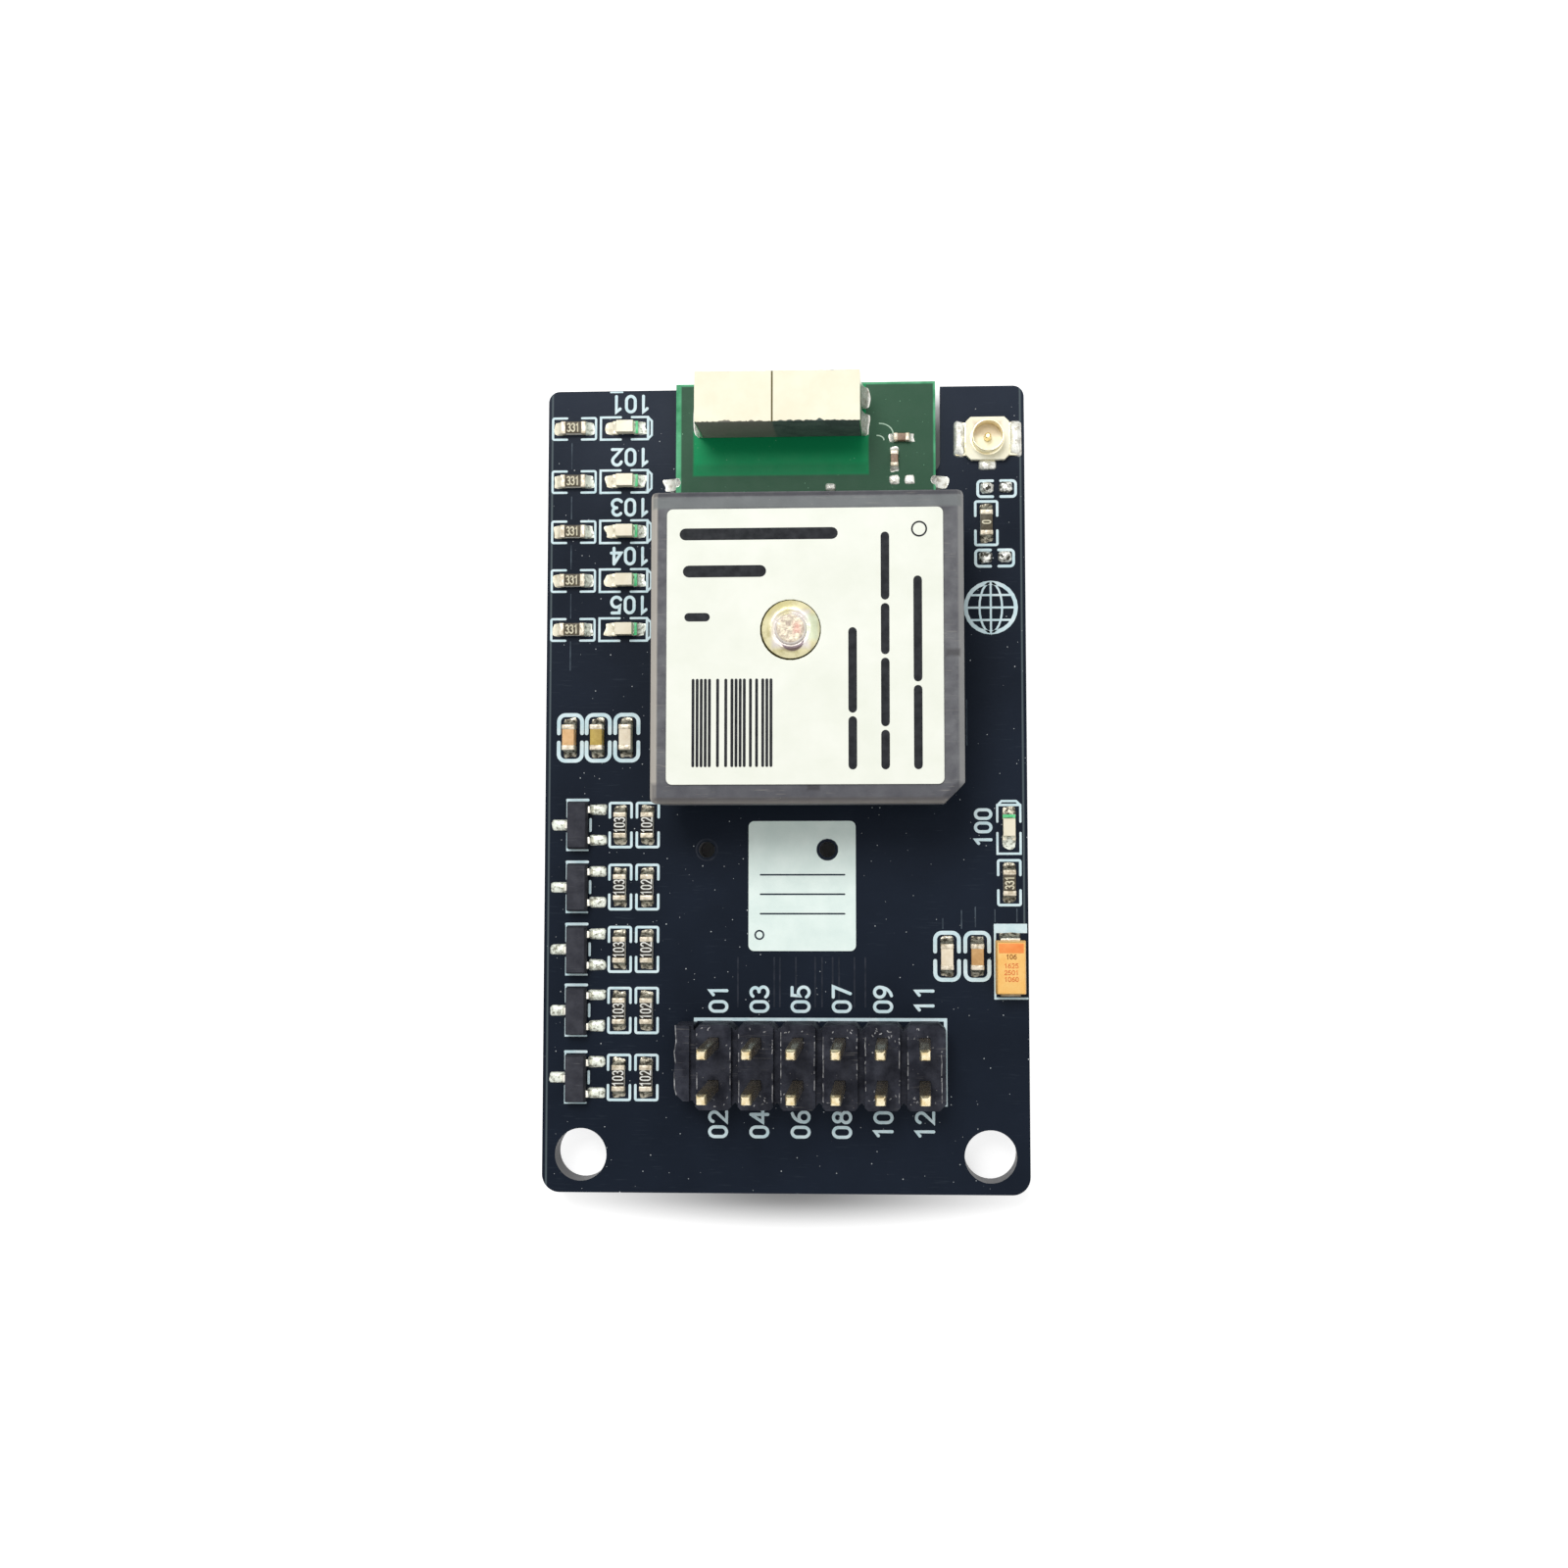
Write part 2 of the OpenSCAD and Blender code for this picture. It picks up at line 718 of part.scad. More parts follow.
// Moulded transistor body, held off the board by its leads
module transistor(i) {
    color(resin_black) at([transistor_x, driver_rows[i - 1]])
        two_view_solid(
            moulded_outline(transistor_w / 2, body_lift, lead_z, transistor_h),
            moulded_outline(transistor_l / 2, body_lift, lead_z, transistor_h)
        );
}

// Bent lead that leaves a transistor body along +X and steps down to the board
module gull_lead() {
    step = lead_reach - lead_foot;
    rotate([90, 0, 0])
        linear_extrude(lead_w, center = true)
            polygon([
                [0, lead_z], [step - lead_t, lead_z], [step, 0], [lead_reach, 0], [lead_reach, lead_t],
                [step + lead_t, lead_t], [step, lead_z + lead_t], [0, lead_z + lead_t]
            ]);
}

// Repeats a thing at each lead of one transistor, facing out of the body
module each_lead(i) {
    at([transistor_x, driver_rows[i - 1]]) {
        for (y = [-lead_span / 2, lead_span / 2]) translate([transistor_w / 2, y, 0]) children();
        translate([-transistor_w / 2, 0, 0]) rotate([0, 0, 180]) children();
    }
}

module transistor_leads() {
    color(tin) for (i = [1:driver_count]) each_lead(i) gull_lead();
}

module base_resistor(i) {
    at([base_resistor_x, driver_rows[i - 1]], along_y = true) chip_resistor();
}

module pullup_resistor(i) {
    at([pullup_resistor_x, driver_rows[i - 1]], along_y = true) chip_resistor();
}

module backup_capacitor(i) {
    at([backup_cap_x[i - 1], backup_cap_y], along_y = true) chip_capacitor();
}

module supply_capacitor(i) {
    at([carrier_w - supply_cap_inset[i - 1], supply_cap_y], along_y = true) chip_capacitor();
}

// Moulded tantalum capacitor that lies along Y
module tantalum_capacitor() {
    color(resin_orange) at([carrier_w - right_column_inset, tantalum_y])
        difference() {
            two_view_solid(
                moulded_outline(tantalum_w / 2, 0, tantalum_lead_h, tantalum_h),
                moulded_outline(tantalum_l / 2 - tantalum_lead_t, 0, tantalum_lead_h, tantalum_h)
            );
            tantalum_feet();
        }
}

// Two strips that fold down the ends of the tantalum capacitor and under it
module tantalum_leads() {
    color(tin) at([carrier_w - right_column_inset, tantalum_y]) {
        tantalum_feet();
        for (side = [0, 1])
            mirror([0, side, 0])
                translate([-tantalum_lead_w / 2, tantalum_l / 2 - tantalum_lead_t, 0])
                    cube([tantalum_lead_w, tantalum_lead_t, tantalum_lead_h]);
    }
}

module tantalum_feet() {
    for (side = [0, 1])
        mirror([0, side, 0])
            translate([-tantalum_lead_w / 2, tantalum_l / 2 - tantalum_lead_foot, 0])
                cube([tantalum_lead_w, tantalum_lead_foot, tantalum_lead_t]);
}

module antenna_link_resistor() {
    at([carrier_w - link_inset, carrier_l - link_drop], along_y = true) chip_resistor();
}

// Solder over the side tabs and the signal tab of the coaxial socket
module coax_solder() {
    at([coax_x, coax_y]) difference() {
        union() {
            for (side = [0, 1])
                mirror([side, 0, 0])
                    translate([coax_side / 2, 0, 0])
                        solder_wedge(coax_solder_run, coax_solder_rise, coax_solder_w);
            translate([0, -coax_side / 2, 0])
                rotate([0, 0, -90]) solder_wedge(coax_signal_run, coax_solder_rise, coax_signal_solder_w);
        }
        coax_tabs();
        coax_contact_form();
    }
}

// Solder at the ends of the chip parts, the transistor leads, the tantalum capacitor and the coaxial
// socket, and on four bare pads
module chip_solder() {
    right_x = carrier_w - right_column_inset;
    color(tin) {
        for (y = lamp_rows) {
            at([lamp_x, carrier_l - y]) end_wedges(chip_l, lamp_base_h, chip_w);
            at([lamp_resistor_x, carrier_l - y]) end_wedges(chip_l, resistor_rise, chip_w);
        }
        for (y = driver_rows, x = [base_resistor_x, pullup_resistor_x])
            at([x, y], along_y = true) end_wedges(chip_l, resistor_rise, chip_w);
        for (i = [1:driver_count])
            each_lead(i) translate([lead_reach, 0, 0]) solder_wedge(fillet_run, lead_t, lead_pad_w);
        for (x = backup_cap_x)
            at([x, backup_cap_y], along_y = true) end_wedges(chip_l, capacitor_rise, chip_w);
        for (inset = supply_cap_inset)
            at([carrier_w - inset, supply_cap_y], along_y = true) end_wedges(chip_l, capacitor_rise, chip_w);
        at([right_x, power_lamp_y], along_y = true) end_wedges(chip_l, lamp_base_h, chip_w);
        at([right_x, power_resistor_y], along_y = true) end_wedges(chip_l, resistor_rise, chip_w);
        at([right_x, tantalum_y], along_y = true) end_wedges(tantalum_l, tantalum_rise, tantalum_lead_w);
        at([carrier_w - link_inset, carrier_l - link_drop], along_y = true)
            end_wedges(chip_l, resistor_rise, chip_w);
        for (i = [0:len(bare_pad_inset) - 1])
            at([carrier_w - bare_pad_inset[i], carrier_l - bare_pad_drop[i]])
                cylinder(h = bare_pad_h, r1 = bare_pad_r, r2 = bare_pad_top_r);
        coax_solder();
    }
}

// Row of housing cells with cut corners and a groove between neighbours; the strip was snapped off at
// the left, so a stub of the next cell is left there
module header_housing() {
    cell_l = header_rows * pin_pitch;
    cell_y = header_y + pin_pitch / 2 + housing_shift;
    color(resin_black) on_board() difference() {
        union() {
            for (column = [0:header_columns - 1])
                translate([header_x + column * pin_pitch, cell_y, 0])
                    linear_extrude(housing_h) chamfered_rect(pin_pitch, cell_l, cell_chamfer);
            translate([header_x - pin_pitch / 2, cell_y, 0])
                linear_extrude(housing_h - stub_drop) snapped_stub(cell_l / 2);
        }
        for (column = [0:header_columns - 1])
            translate([
                header_x + (column - 0.5) * pin_pitch - groove_w / 2, header_y - pin_pitch,
                housing_h - groove_depth
            ])
                cube([groove_w, 2 * cell_l, groove_depth + 1]);
        each_pin()
            translate([-pin_side / 2, -pin_side / 2, -1]) cube([pin_side, pin_side, housing_h + 2]);
    }
}

// Ragged stub that ends in a broken edge
module snapped_stub(half) {
    first = stub_edge[0];
    last = stub_edge[len(stub_edge) - 1];
    edge = [for (share = stub_edge) [-share[0] * stub_l, share[1] * half]];
    polygon(concat([[0, last[1] * half], [0, first[1] * half]], edge));
}

// Square pins, tapered at both ends
module header_pins() {
    outline = pin_outline(-carrier_t - pin_tail, housing_h + pin_above);
    color(gold) on_board() each_pin() two_view_solid(outline, outline);
}

// Cone of solder round each pin under the carrier board
module header_solder() {
    color(tin) on_board() each_pin() translate([0, 0, -carrier_t]) difference() {
        mirror([0, 0, 1]) cylinder(h = joint_h, r1 = joint_foot_r, r2 = joint_tip_r);
        cube([pin_side, pin_side, 4 * joint_h], center = true);
    }
}

carrier_board();
module_board();
module_shield();
module_solder();
receiver_chip();
crystal_oscillator();
saw_filter();
antenna_adhesive();
patch_ceramic();
patch_electrode();
patch_label();
feed_pin();
chip_antenna();
chip_antenna_plates();
antenna_solder();
match_inductor();
match_capacitor();
coax_insulator();
coax_shell();
coax_contact();
for (i = [1:lamp_count]) {
    status_led(i);
    led_resistor(i);
}
power_led();
power_led_resistor();
for (i = [1:driver_count]) {
    transistor(i);
    base_resistor(i);
    pullup_resistor(i);
}
transistor_leads();
for (i = [1:len(backup_cap_x)])
    backup_capacitor(i);
for (i = [1:len(supply_cap_inset)])
    supply_capacitor(i);
tantalum_capacitor();
tantalum_leads();
antenna_link_resistor();
chip_solder();
header_housing();
header_pins();
header_solder();
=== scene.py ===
"""Looks of the satellite positioning board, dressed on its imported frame.

Sizes are millimetres in the frame of the board: +X to the right, +Y towards the antenna end, +Z up out of
the face that carries the parts. Flat paths and outlines are complex numbers, x + iy.
"""

import json
import logging
import math
from collections.abc import Callable, Iterable, Sequence
from dataclasses import dataclass, field, replace
from enum import Enum, IntEnum

import bmesh
import bpy
import numpy as np
from mathutils import Matrix, Vector

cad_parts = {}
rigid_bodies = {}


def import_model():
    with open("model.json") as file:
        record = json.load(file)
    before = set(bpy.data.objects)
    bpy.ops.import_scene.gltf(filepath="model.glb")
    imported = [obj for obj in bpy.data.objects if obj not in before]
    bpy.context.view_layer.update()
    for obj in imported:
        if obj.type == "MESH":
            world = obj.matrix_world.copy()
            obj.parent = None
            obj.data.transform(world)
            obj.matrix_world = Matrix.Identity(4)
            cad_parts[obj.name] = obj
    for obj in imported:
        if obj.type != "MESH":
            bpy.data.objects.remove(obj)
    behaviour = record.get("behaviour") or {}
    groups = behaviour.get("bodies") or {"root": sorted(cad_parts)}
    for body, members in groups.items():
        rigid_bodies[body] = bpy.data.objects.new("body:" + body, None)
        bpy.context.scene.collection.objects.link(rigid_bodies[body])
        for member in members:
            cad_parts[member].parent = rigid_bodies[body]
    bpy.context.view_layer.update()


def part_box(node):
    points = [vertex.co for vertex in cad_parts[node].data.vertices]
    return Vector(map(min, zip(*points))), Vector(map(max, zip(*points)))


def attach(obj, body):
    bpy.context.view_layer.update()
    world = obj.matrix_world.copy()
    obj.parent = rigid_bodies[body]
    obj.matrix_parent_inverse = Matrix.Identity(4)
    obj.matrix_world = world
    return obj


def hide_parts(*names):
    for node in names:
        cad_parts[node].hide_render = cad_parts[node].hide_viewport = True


LOG = logging.getLogger("board")
MM = 0.001
ROOT = "root"
LOOK = "_look"
FINISH = "_finish"
MERGE_MM = 0.0005  # corners closer than this are one
CREASE = 32.0  # degrees from which an edge stays sharp
PAST = 1.0  # how far a zone reaches past the piece that it colours
SUNK = 0.002  # how deep print sits in what it is printed on
ARC_STEP = 15  # degrees between places on an arc
SAME = 1e-4  # places closer than this are one
MEETS = 1e-3  # a path whose ends are closer than this is closed
WHITE = (1.0, 1.0, 1.0, 1.0)

Colour = tuple[float, float, float]
Point = tuple[float, float, float]
Pair = tuple[float, float]
Rect = tuple[float, float, float, float]
Round = tuple[complex, float]
Span = tuple[object, object]
Array = np.ndarray
Socket = bpy.types.NodeSocket
Tree = bpy.types.NodeTree
Chance = np.random.Generator


class Turn(Enum):
    """Quarter turns about Z, as factors of a flat place x + iy."""

    NONE = 1 + 0j
    LEFT = 0 + 1j
    HALF = -1 + 0j
    RIGHT = 0 - 1j


def numbered(name: str, count: int) -> list[str]:
    """Names of a row of like nodes."""
    return [f"{name}_{i}" for i in range(1, count + 1)]


LAMPS = numbered("status_led", 5)
LAMP_RESISTORS = numbered("led_resistor", 5)
BASE_RESISTORS = numbered("base_resistor", 5)
PULLUP_RESISTORS = numbered("pullup_resistor", 5)
LONE_RESISTORS = ["power_led_resistor", "antenna_link_resistor"]
CAPACITORS = numbered("backup_capacitor", 3) + numbered("supply_capacitor", 2)
MATCHING = ["match_inductor", "match_capacitor"]
TRANSISTORS = numbered("transistor", 5)


@dataclass(frozen=True)
class Box:
    """Lowest and highest corner of a CAD node, in millimetres."""

    low: Array
    high: Array

    @classmethod
    def of(cls, node: str) -> "Box":
        """Reads the box of the named CAD node."""
        low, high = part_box(node)
        return cls(np.array(low) / MM, np.array(high) / MM)

    @property
    def centre(self) -> Array:
        """Middle of the box."""
        return (self.low + self.high) / 2

    @property
    def middle(self) -> complex:
        """Middle of the box as a flat place."""
        return complex(*self.centre[:2])

    @property
    def size(self) -> Array:
        """Extent of the box along X, Y and Z."""
        return self.high - self.low

    @property
    def foot(self) -> Array:
        """Middle of the box's bottom face."""
        return np.array([*self.centre[:2], self.low[2]])

    @property
    def turn(self) -> Turn:
        """How a part drawn along X is turned to lie as this box does."""
        return Turn.NONE if self.size[0] >= self.size[1] else Turn.LEFT


def carrier_top() -> float:
    """Level of the carrier board's upper face."""
    return Box.of("carrier_board").high[2]


# Shapes


def lifted(flat: Array, z: Array | Sequence[float]) -> Array:
    """Corners over flat places, at heights that may be shared along an axis."""
    return np.stack([flat.real, flat.imag, np.broadcast_to(z, flat.shape)], axis=-1)


@dataclass(frozen=True)
class Form:
    """Surface in millimetres.

    Attributes:
        points: Corners, one row of x, y and z each.
        quads: Four corner numbers for each four-sided face.
        tris: Three corner numbers for each three-sided face.
        coats: Which finish each face wears, the four-sided faces first.
    """

    points: Array
    quads: Array
    tris: Array
    coats: Array

    def placed(self, place: Sequence[float], turn: Turn = Turn.NONE) -> "Form":
        """The form turned about Z, with its origin then moved to a place."""
        flat = (self.points[:, 0] + 1j * self.points[:, 1]) * turn.value
        return replace(self, points=lifted(flat, self.points[:, 2]) + np.asarray(place))

    def coated(self, coat: int) -> "Form":
        """The form with one finish on every face."""
        return replace(self, coats=np.full_like(self.coats, coat))

    @staticmethod
    def joined(forms: Iterable["Form"]) -> "Form":
        """Puts several forms into one, each still closed by itself."""
        forms = list(forms)
        starts = np.cumsum([0, *(len(form.points) for form in forms)])[:-1]
        split = [len(form.quads) for form in forms]
        quad_coats = [form.coats[:n] for form, n in zip(forms, split)]
        tri_coats = [form.coats[n:] for form, n in zip(forms, split)]
        return Form(
            np.vstack([form.points for form in forms]),
            np.vstack([form.quads + start for form, start in zip(forms, starts)]),
            np.vstack([form.tris + start for form, start in zip(forms, starts)]),
            np.concatenate(quad_coats + tri_coats),
        )


def loft(rings: Array, looped: bool = False) -> Form:
    """Closed skin over a row of rings that run anticlockwise about the way they are stacked.

    Corner j of ring i joins corner j + 1 and the same two corners of ring i + 1. A fan on the mean point of
    the ring closes each end, or the last ring joins the first.

    Args:
        rings: Corners by ring, corner and axis.
        looped: Whether the last ring joins the first.

    Returns:
        The closed form.
    """
    count, sides = rings.shape[:2]
    here = np.arange(count * sides).reshape(count, sides)
    beside = np.roll(here, -1, axis=1)
    quads = np.stack([here, beside, np.roll(beside, -1, axis=0), np.roll(here, -1, axis=0)], axis=-1)
    points = rings.reshape(-1, 3)
    tris = np.empty((0, 3), int)
    if not looped:
        quads = quads[:-1]
        first, last = np.full(sides, len(points)), np.full(sides, len(points) + 1)
        start_fan = np.column_stack([beside[0], here[0], first])
        end_fan = np.column_stack([here[-1], beside[-1], last])
        tris = np.vstack([start_fan, end_fan])
        points = np.vstack([points, rings[0].mean(axis=0), rings[-1].mean(axis=0)])
    quads = quads.reshape(-1, 4)
    return Form(points, quads, tris, np.zeros(len(quads) + len(tris), int))


def stacked(outlines: Sequence[Array], heights: Sequence[float]) -> Array:
    """Rings at the given heights, one for each flat outline."""
    return lifted(np.array(outlines), np.asarray(heights, float)[:, None])


def rounded_outline(width: float, length: float, radius: float, steps: int = 4) -> Array:
    """Anticlockwise rectangle about the origin, each corner a quarter circle.

    Args:
        width: Extent along X.
        length: Extent along Y.
        radius: Corner radius.
        steps: Straight pieces in a corner.

    Returns:
        The outline as complex places.
    """
    corner = complex(width / 2 - radius, length / 2 - radius)
    corners = np.array([corner, -corner.conjugate(), -corner, corner.conjugate()])
    quarter = radius * np.exp(1j * np.linspace(0, math.pi / 2, steps + 1))
    return (corners[:, None] + np.power(1j, np.arange(4))[:, None] * quarter).ravel()


def block(size: Point, corner: float, edge: float, foot: float = 0.0) -> Form:
    """Box on the origin with rounded upright corners and a rounded top edge.

    Over the top edge the outline shrinks by edge times 1 - cos a while it rises by edge times sin a, with a
    from 0 to a right angle. The foot edge mirrors that.

    Args:
        size: Extent along X, Y and Z.
        corner: Radius of the upright corners.
        edge: Radius of the top edge.
        foot: Radius of the bottom edge.

    Returns:
        The closed form.
    """
    bend = np.linspace(0, math.pi / 2, 4)
    low = bend if foot else bend[:1]
    inset = np.concatenate([foot * (1 - np.sin(low)), edge * (1 - np.cos(bend))])
    z = np.concatenate([foot * (1 - np.cos(low)), size[2] - edge + edge * np.sin(bend)])
    least = 0.01
    outlines = [rounded_outline(size[0] - 2 * i, size[1] - 2 * i, max(corner - i, least)) for i in inset]
    return loft(stacked(outlines, z))


def moulded(size: Point, band: float, draft: float, edge: float) -> Form:
    """Moulded body on the origin, widest at its parting band and drawn in above and below it.

    The outline shrinks by the draft from the band to the foot and to the top, whose edge is a quarter circle.

    Args:
        size: Extent along X, Y and Z.
        band: Height of the band's lower edge.
        draft: How far the walls lean in.
        edge: Radius of the top edge.

    Returns:
        The closed form.
    """
    band_h, corner = 0.14, 0.06
    bend = np.linspace(0, math.pi / 2, 4)
    z = np.concatenate([[0.0, band, band + band_h], size[2] - edge + edge * np.sin(bend)])
    inset = np.concatenate([[draft, 0.0, 0.0], draft + edge * (1 - np.cos(bend))])
    return loft(stacked([rounded_outline(size[0] - 2 * i, size[1] - 2 * i, corner) for i in inset], z))


def fine_outline(width: float, length: float, middle: complex) -> Array:
    """Rounded rectangle about a place, each of its straight pieces cut in eight."""
    outline = rounded_outline(width, length, 0.35, 6) + middle
    share = np.arange(8) / 8
    return (outline[:, None] * (1 - share) + np.roll(outline, -1)[:, None] * share).ravel()


def revolve(profile: Array, sides: int, hollow: bool = False) -> Form:
    """Turned shape about Z: each row of the profile is carried round the axis in equal steps.

    Args:
        profile: Rows of radius and height, of a solid from the foot up the outside to the top, of a hollow ring
            round its section: top, outside, bottom, inside.
        sides: Straight pieces in a round.
        hollow: Whether it is a ring.

    Returns:
        The closed form.
    """
    spin = np.exp(2j * math.pi * np.arange(sides) / sides)
    if hollow:
        return loft(lifted(spin[:, None] * profile[:, 0], profile[:, 1]), looped=True)
    return loft(stacked(profile[:, :1] * spin, profile[:, 1]))


def mound(width: float, length: float, height: float, draw: Chance) -> Form:
    """Rough cushion of solder on the origin.

    The outline is a rounded rectangle whose radius swings by three random waves of a few hundredths. Inwards
    the height follows the square root of 1 - q squared, with q the share of the outline, and the same waves
    ripple it.

    Args:
        width: Extent along X.
        length: Extent along Y.
        height: Height of the middle.
        draw: Source of the waves.

    Returns:
        The closed form.
    """
    outline = rounded_outline(width, length, min(width, length) * 0.3, 5)
    angle = np.angle(outline)[:, None]
    waves, phase = np.array([3, 5, 8]), draw.uniform(0, 2 * math.pi, 3)
    swing = (np.sin(waves * angle + phase) * draw.uniform(0.01, 0.045, 3)).sum(axis=1)
    q = np.array([1.0, 0.97, 0.88, 0.74, 0.55, 0.34, 0.14])[:, None]
    ripple = 1 + 0.9 * swing * np.sin(9 * q + phase[0])
    z = height * np.sqrt(np.clip(1 - q * q, 0, 1)) * ripple
    return loft(lifted(q * outline * (0.95 + swing), z))


def stroke(path: Array, width: float, z: float, height: float, looped: bool) -> Form:
    """Flat bar carried along a flat path, as one line of print.

    At a bend the half width grows by one over the cosine of half the turn, so both edges stay parallel. Past
    an open end the half width follows cos a while the path runs on by sin a, which makes a round end.

    Args:
        path: Complex places along the middle line.
        width: Width of the bar.
        z: Height of its underside.
        height: Thickness of the bar.
        looped: Whether the end joins the start.

    Returns:
        The closed form.
    """
    half = width / 2
    step = np.diff(path, append=path[:1]) if looped else np.diff(path)
    step = step / np.abs(step)
    before = np.roll(step, 1) if looped else np.concatenate([step[:1], step])
    after = step if looped else np.concatenate([step, step[-1:]])
    along = (before + after) / np.abs(before + after)
    reach = half / np.maximum((along * after.conj()).real, 0.5)
    centre = path
    if not looped:
        bend = np.radians([78, 52, 26])
        head, tail = path[0] - step[0] * half * np.sin(bend), path[-1] + step[-1] * half * np.sin(bend[::-1])
        centre = np.concatenate([head, path, tail])
        along = np.concatenate([np.repeat(step[:1], 3), along, np.repeat(step[-1:], 3)])
        reach = np.concatenate([half * np.cos(bend), reach, half * np.cos(bend[::-1])])
    right, left = centre - 1j * along * reach, centre + 1j * along * reach
    flat = np.stack([right, right, left, left], axis=-1)
    return loft(lifted(flat, [z + height, z, z, z + height]), looped)


def fillet(run: float, rise: float, width: float, draw: Chance) -> Form:
    """Hollow-faced solder that climbs a wall at x = 0 and runs out along +X.

    Across the width, s goes from -1 to 1. The run and the rise shrink by the fourth root of 1 - s to the
    eighth, and a slow sine shifts the run a little. In each section the height is the rise times (1 - t) to
    the power 2.2, with t the share of the run.

    Args:
        run: How far the solder reaches from the wall.
        rise: How high it climbs the wall.
        width: Extent along Y.
        draw: Source of the small differences between joints.

    Returns:
        The closed form, tucked a little into the wall.
    """
    tuck, toe, stations, steps = 0.05, 0.02, 15, 9
    s = np.linspace(-0.995, 0.995, stations)[:, None]
    swell = (1 - s**8) ** 0.25
    phase, depth = draw.uniform(0, 2 * math.pi), draw.uniform(0.06, 0.14)
    runs = run * swell * (0.92 + depth * np.sin(2.6 * s + phase))
    rises = rise * swell * draw.uniform(0.85, 1.0)
    t = np.linspace(0, 1, steps)[None, :]
    x = np.hstack([np.full_like(s, -tuck), runs * t, np.full_like(s, -tuck)])
    z = np.hstack([rises, toe * swell * (1 - t) + rises * (1 - t) ** 2.2, np.zeros_like(s)])
    return loft(lifted(x + 1j * (s * width / 2), z))


# Paths of print


@dataclass(frozen=True)
class Arc:
    """Stretch of an ellipse, its angles in degrees."""

    x: float
    y: float
    rx: float
    ry: float
    start: float
    end: float

    def path(self) -> Array:
        """Complex places along the stretch, one for each step or so."""
        steps = max(2, round(abs(self.end - self.start) / ARC_STEP) + 1)
        angle = np.radians(np.linspace(self.start, self.end, steps))
        return self.x + 1j * self.y + self.rx * np.cos(angle) + 1j * self.ry * np.sin(angle)


Stretch = Arc | Pair

# Numerals as pen strokes on a box 0.6 wide and 1 high
NUMERALS: dict[str, tuple[tuple[Stretch, ...], ...]] = {
    "0": ((Arc(0.3, 0.7, 0.28, 0.3, 0, 180), Arc(0.3, 0.3, 0.28, 0.3, 180, 360), (0.58, 0.7)),),
    "1": (((0.12, 0.8), (0.36, 1.0), (0.36, 0.0)),),
    "2": ((Arc(0.3, 0.72, 0.28, 0.28, 165, -35), (0.02, 0.0), (0.6, 0.0)),),
    "3": ((Arc(0.27, 0.76, 0.27, 0.24, 150, -85),), (Arc(0.27, 0.27, 0.31, 0.27, 85, -150),)),
    "4": (((0.45, 0.0), (0.45, 1.0)), ((0.45, 1.0), (0.0, 0.3), (0.62, 0.3))),
    "5": (((0.55, 1.0), (0.1, 1.0), (0.06, 0.56), Arc(0.27, 0.32, 0.31, 0.32, 115, -150)),),
    "6": ((Arc(0.62, 0.3, 0.6, 0.7, 100, 180),), (Arc(0.31, 0.3, 0.29, 0.3, 180, 540),)),
    "7": (((0.0, 1.0), (0.6, 1.0), (0.2, 0.0)),),
    "8": ((Arc(0.3, 0.76, 0.25, 0.24, -90, 270),), (Arc(0.3, 0.27, 0.3, 0.27, 90, 450),)),
    "9": ((Arc(-0.02, 0.7, 0.6, 0.7, -80, 0),), (Arc(0.29, 0.7, 0.29, 0.3, 0, 360),)),
}
NUMERAL_WIDTH, NUMERAL_STEP = 0.6, 0.86


def upright(x: float, start: float, end: float) -> Array:
    """Straight path along Y."""
    return np.array([complex(x, start), complex(x, end)])


def level(y: float, start: float, end: float) -> Array:
    """Straight path along X."""
    return np.array([complex(start, y), complex(end, y)])


def ring(centre: complex, radius: float) -> Array:
    """Round path about a place."""
    return Arc(0, 0, radius, radius, 0, 360).path() + centre


def path_of(stretches: Iterable[Stretch]) -> Array:
    """One path through points and arcs, without doubled places."""
    parts = [s.path() if isinstance(s, Arc) else np.array([complex(*s)]) for s in stretches]
    path = np.concatenate(parts)
    return path[np.concatenate([[True], np.abs(np.diff(path)) > SAME])]


def numerals(text: str, height: float, middle: complex, turn: Turn, squeeze: float = 1.0) -> list[Array]:
    """Pen paths of a number.

    Args:
        text: The digits.
        height: Height of a digit.
        middle: Where the middle of the number goes.
        turn: Which way the number reads.
        squeeze: Width of the number as a share of its usual width.

    Returns:
        One path for each pen stroke.
    """
    length = NUMERAL_STEP * (len(text) - 1) + NUMERAL_WIDTH
    paths = []
    for place, digit in enumerate(text):
        start = NUMERAL_STEP * place - length / 2 - 0.5j
        for pen in NUMERALS.get(digit, ()):
            path = path_of(pen) + start
            paths.append((path.real * squeeze + 1j * path.imag) * height * turn.value + middle)
    return paths


def inked(paths: Iterable[Array], width: float, z: float, height: float, coat: int = 0) -> list[Form]:
    """Prints pen paths, each a hair higher or lower than the next so that crossings don't share a level.

    Args:
        paths: Complex places along each pen stroke; one that ends where it starts is closed.
        width: Width of the line.
        z: Height of its underside.
        height: Thickness of the ink.
        coat: Finish of every face.

    Returns:
        One form for each pen stroke.
    """
    forms, levels, rise = [], 9, 0.06
    for i, path in enumerate(paths):
        looped = abs(path[0] - path[-1]) < MEETS
        lift = height * (1 + rise * (i % levels))
        forms.append(stroke(path[:-1] if looped else path, width, z, lift, looped).coated(coat))
    return forms


# Node trees


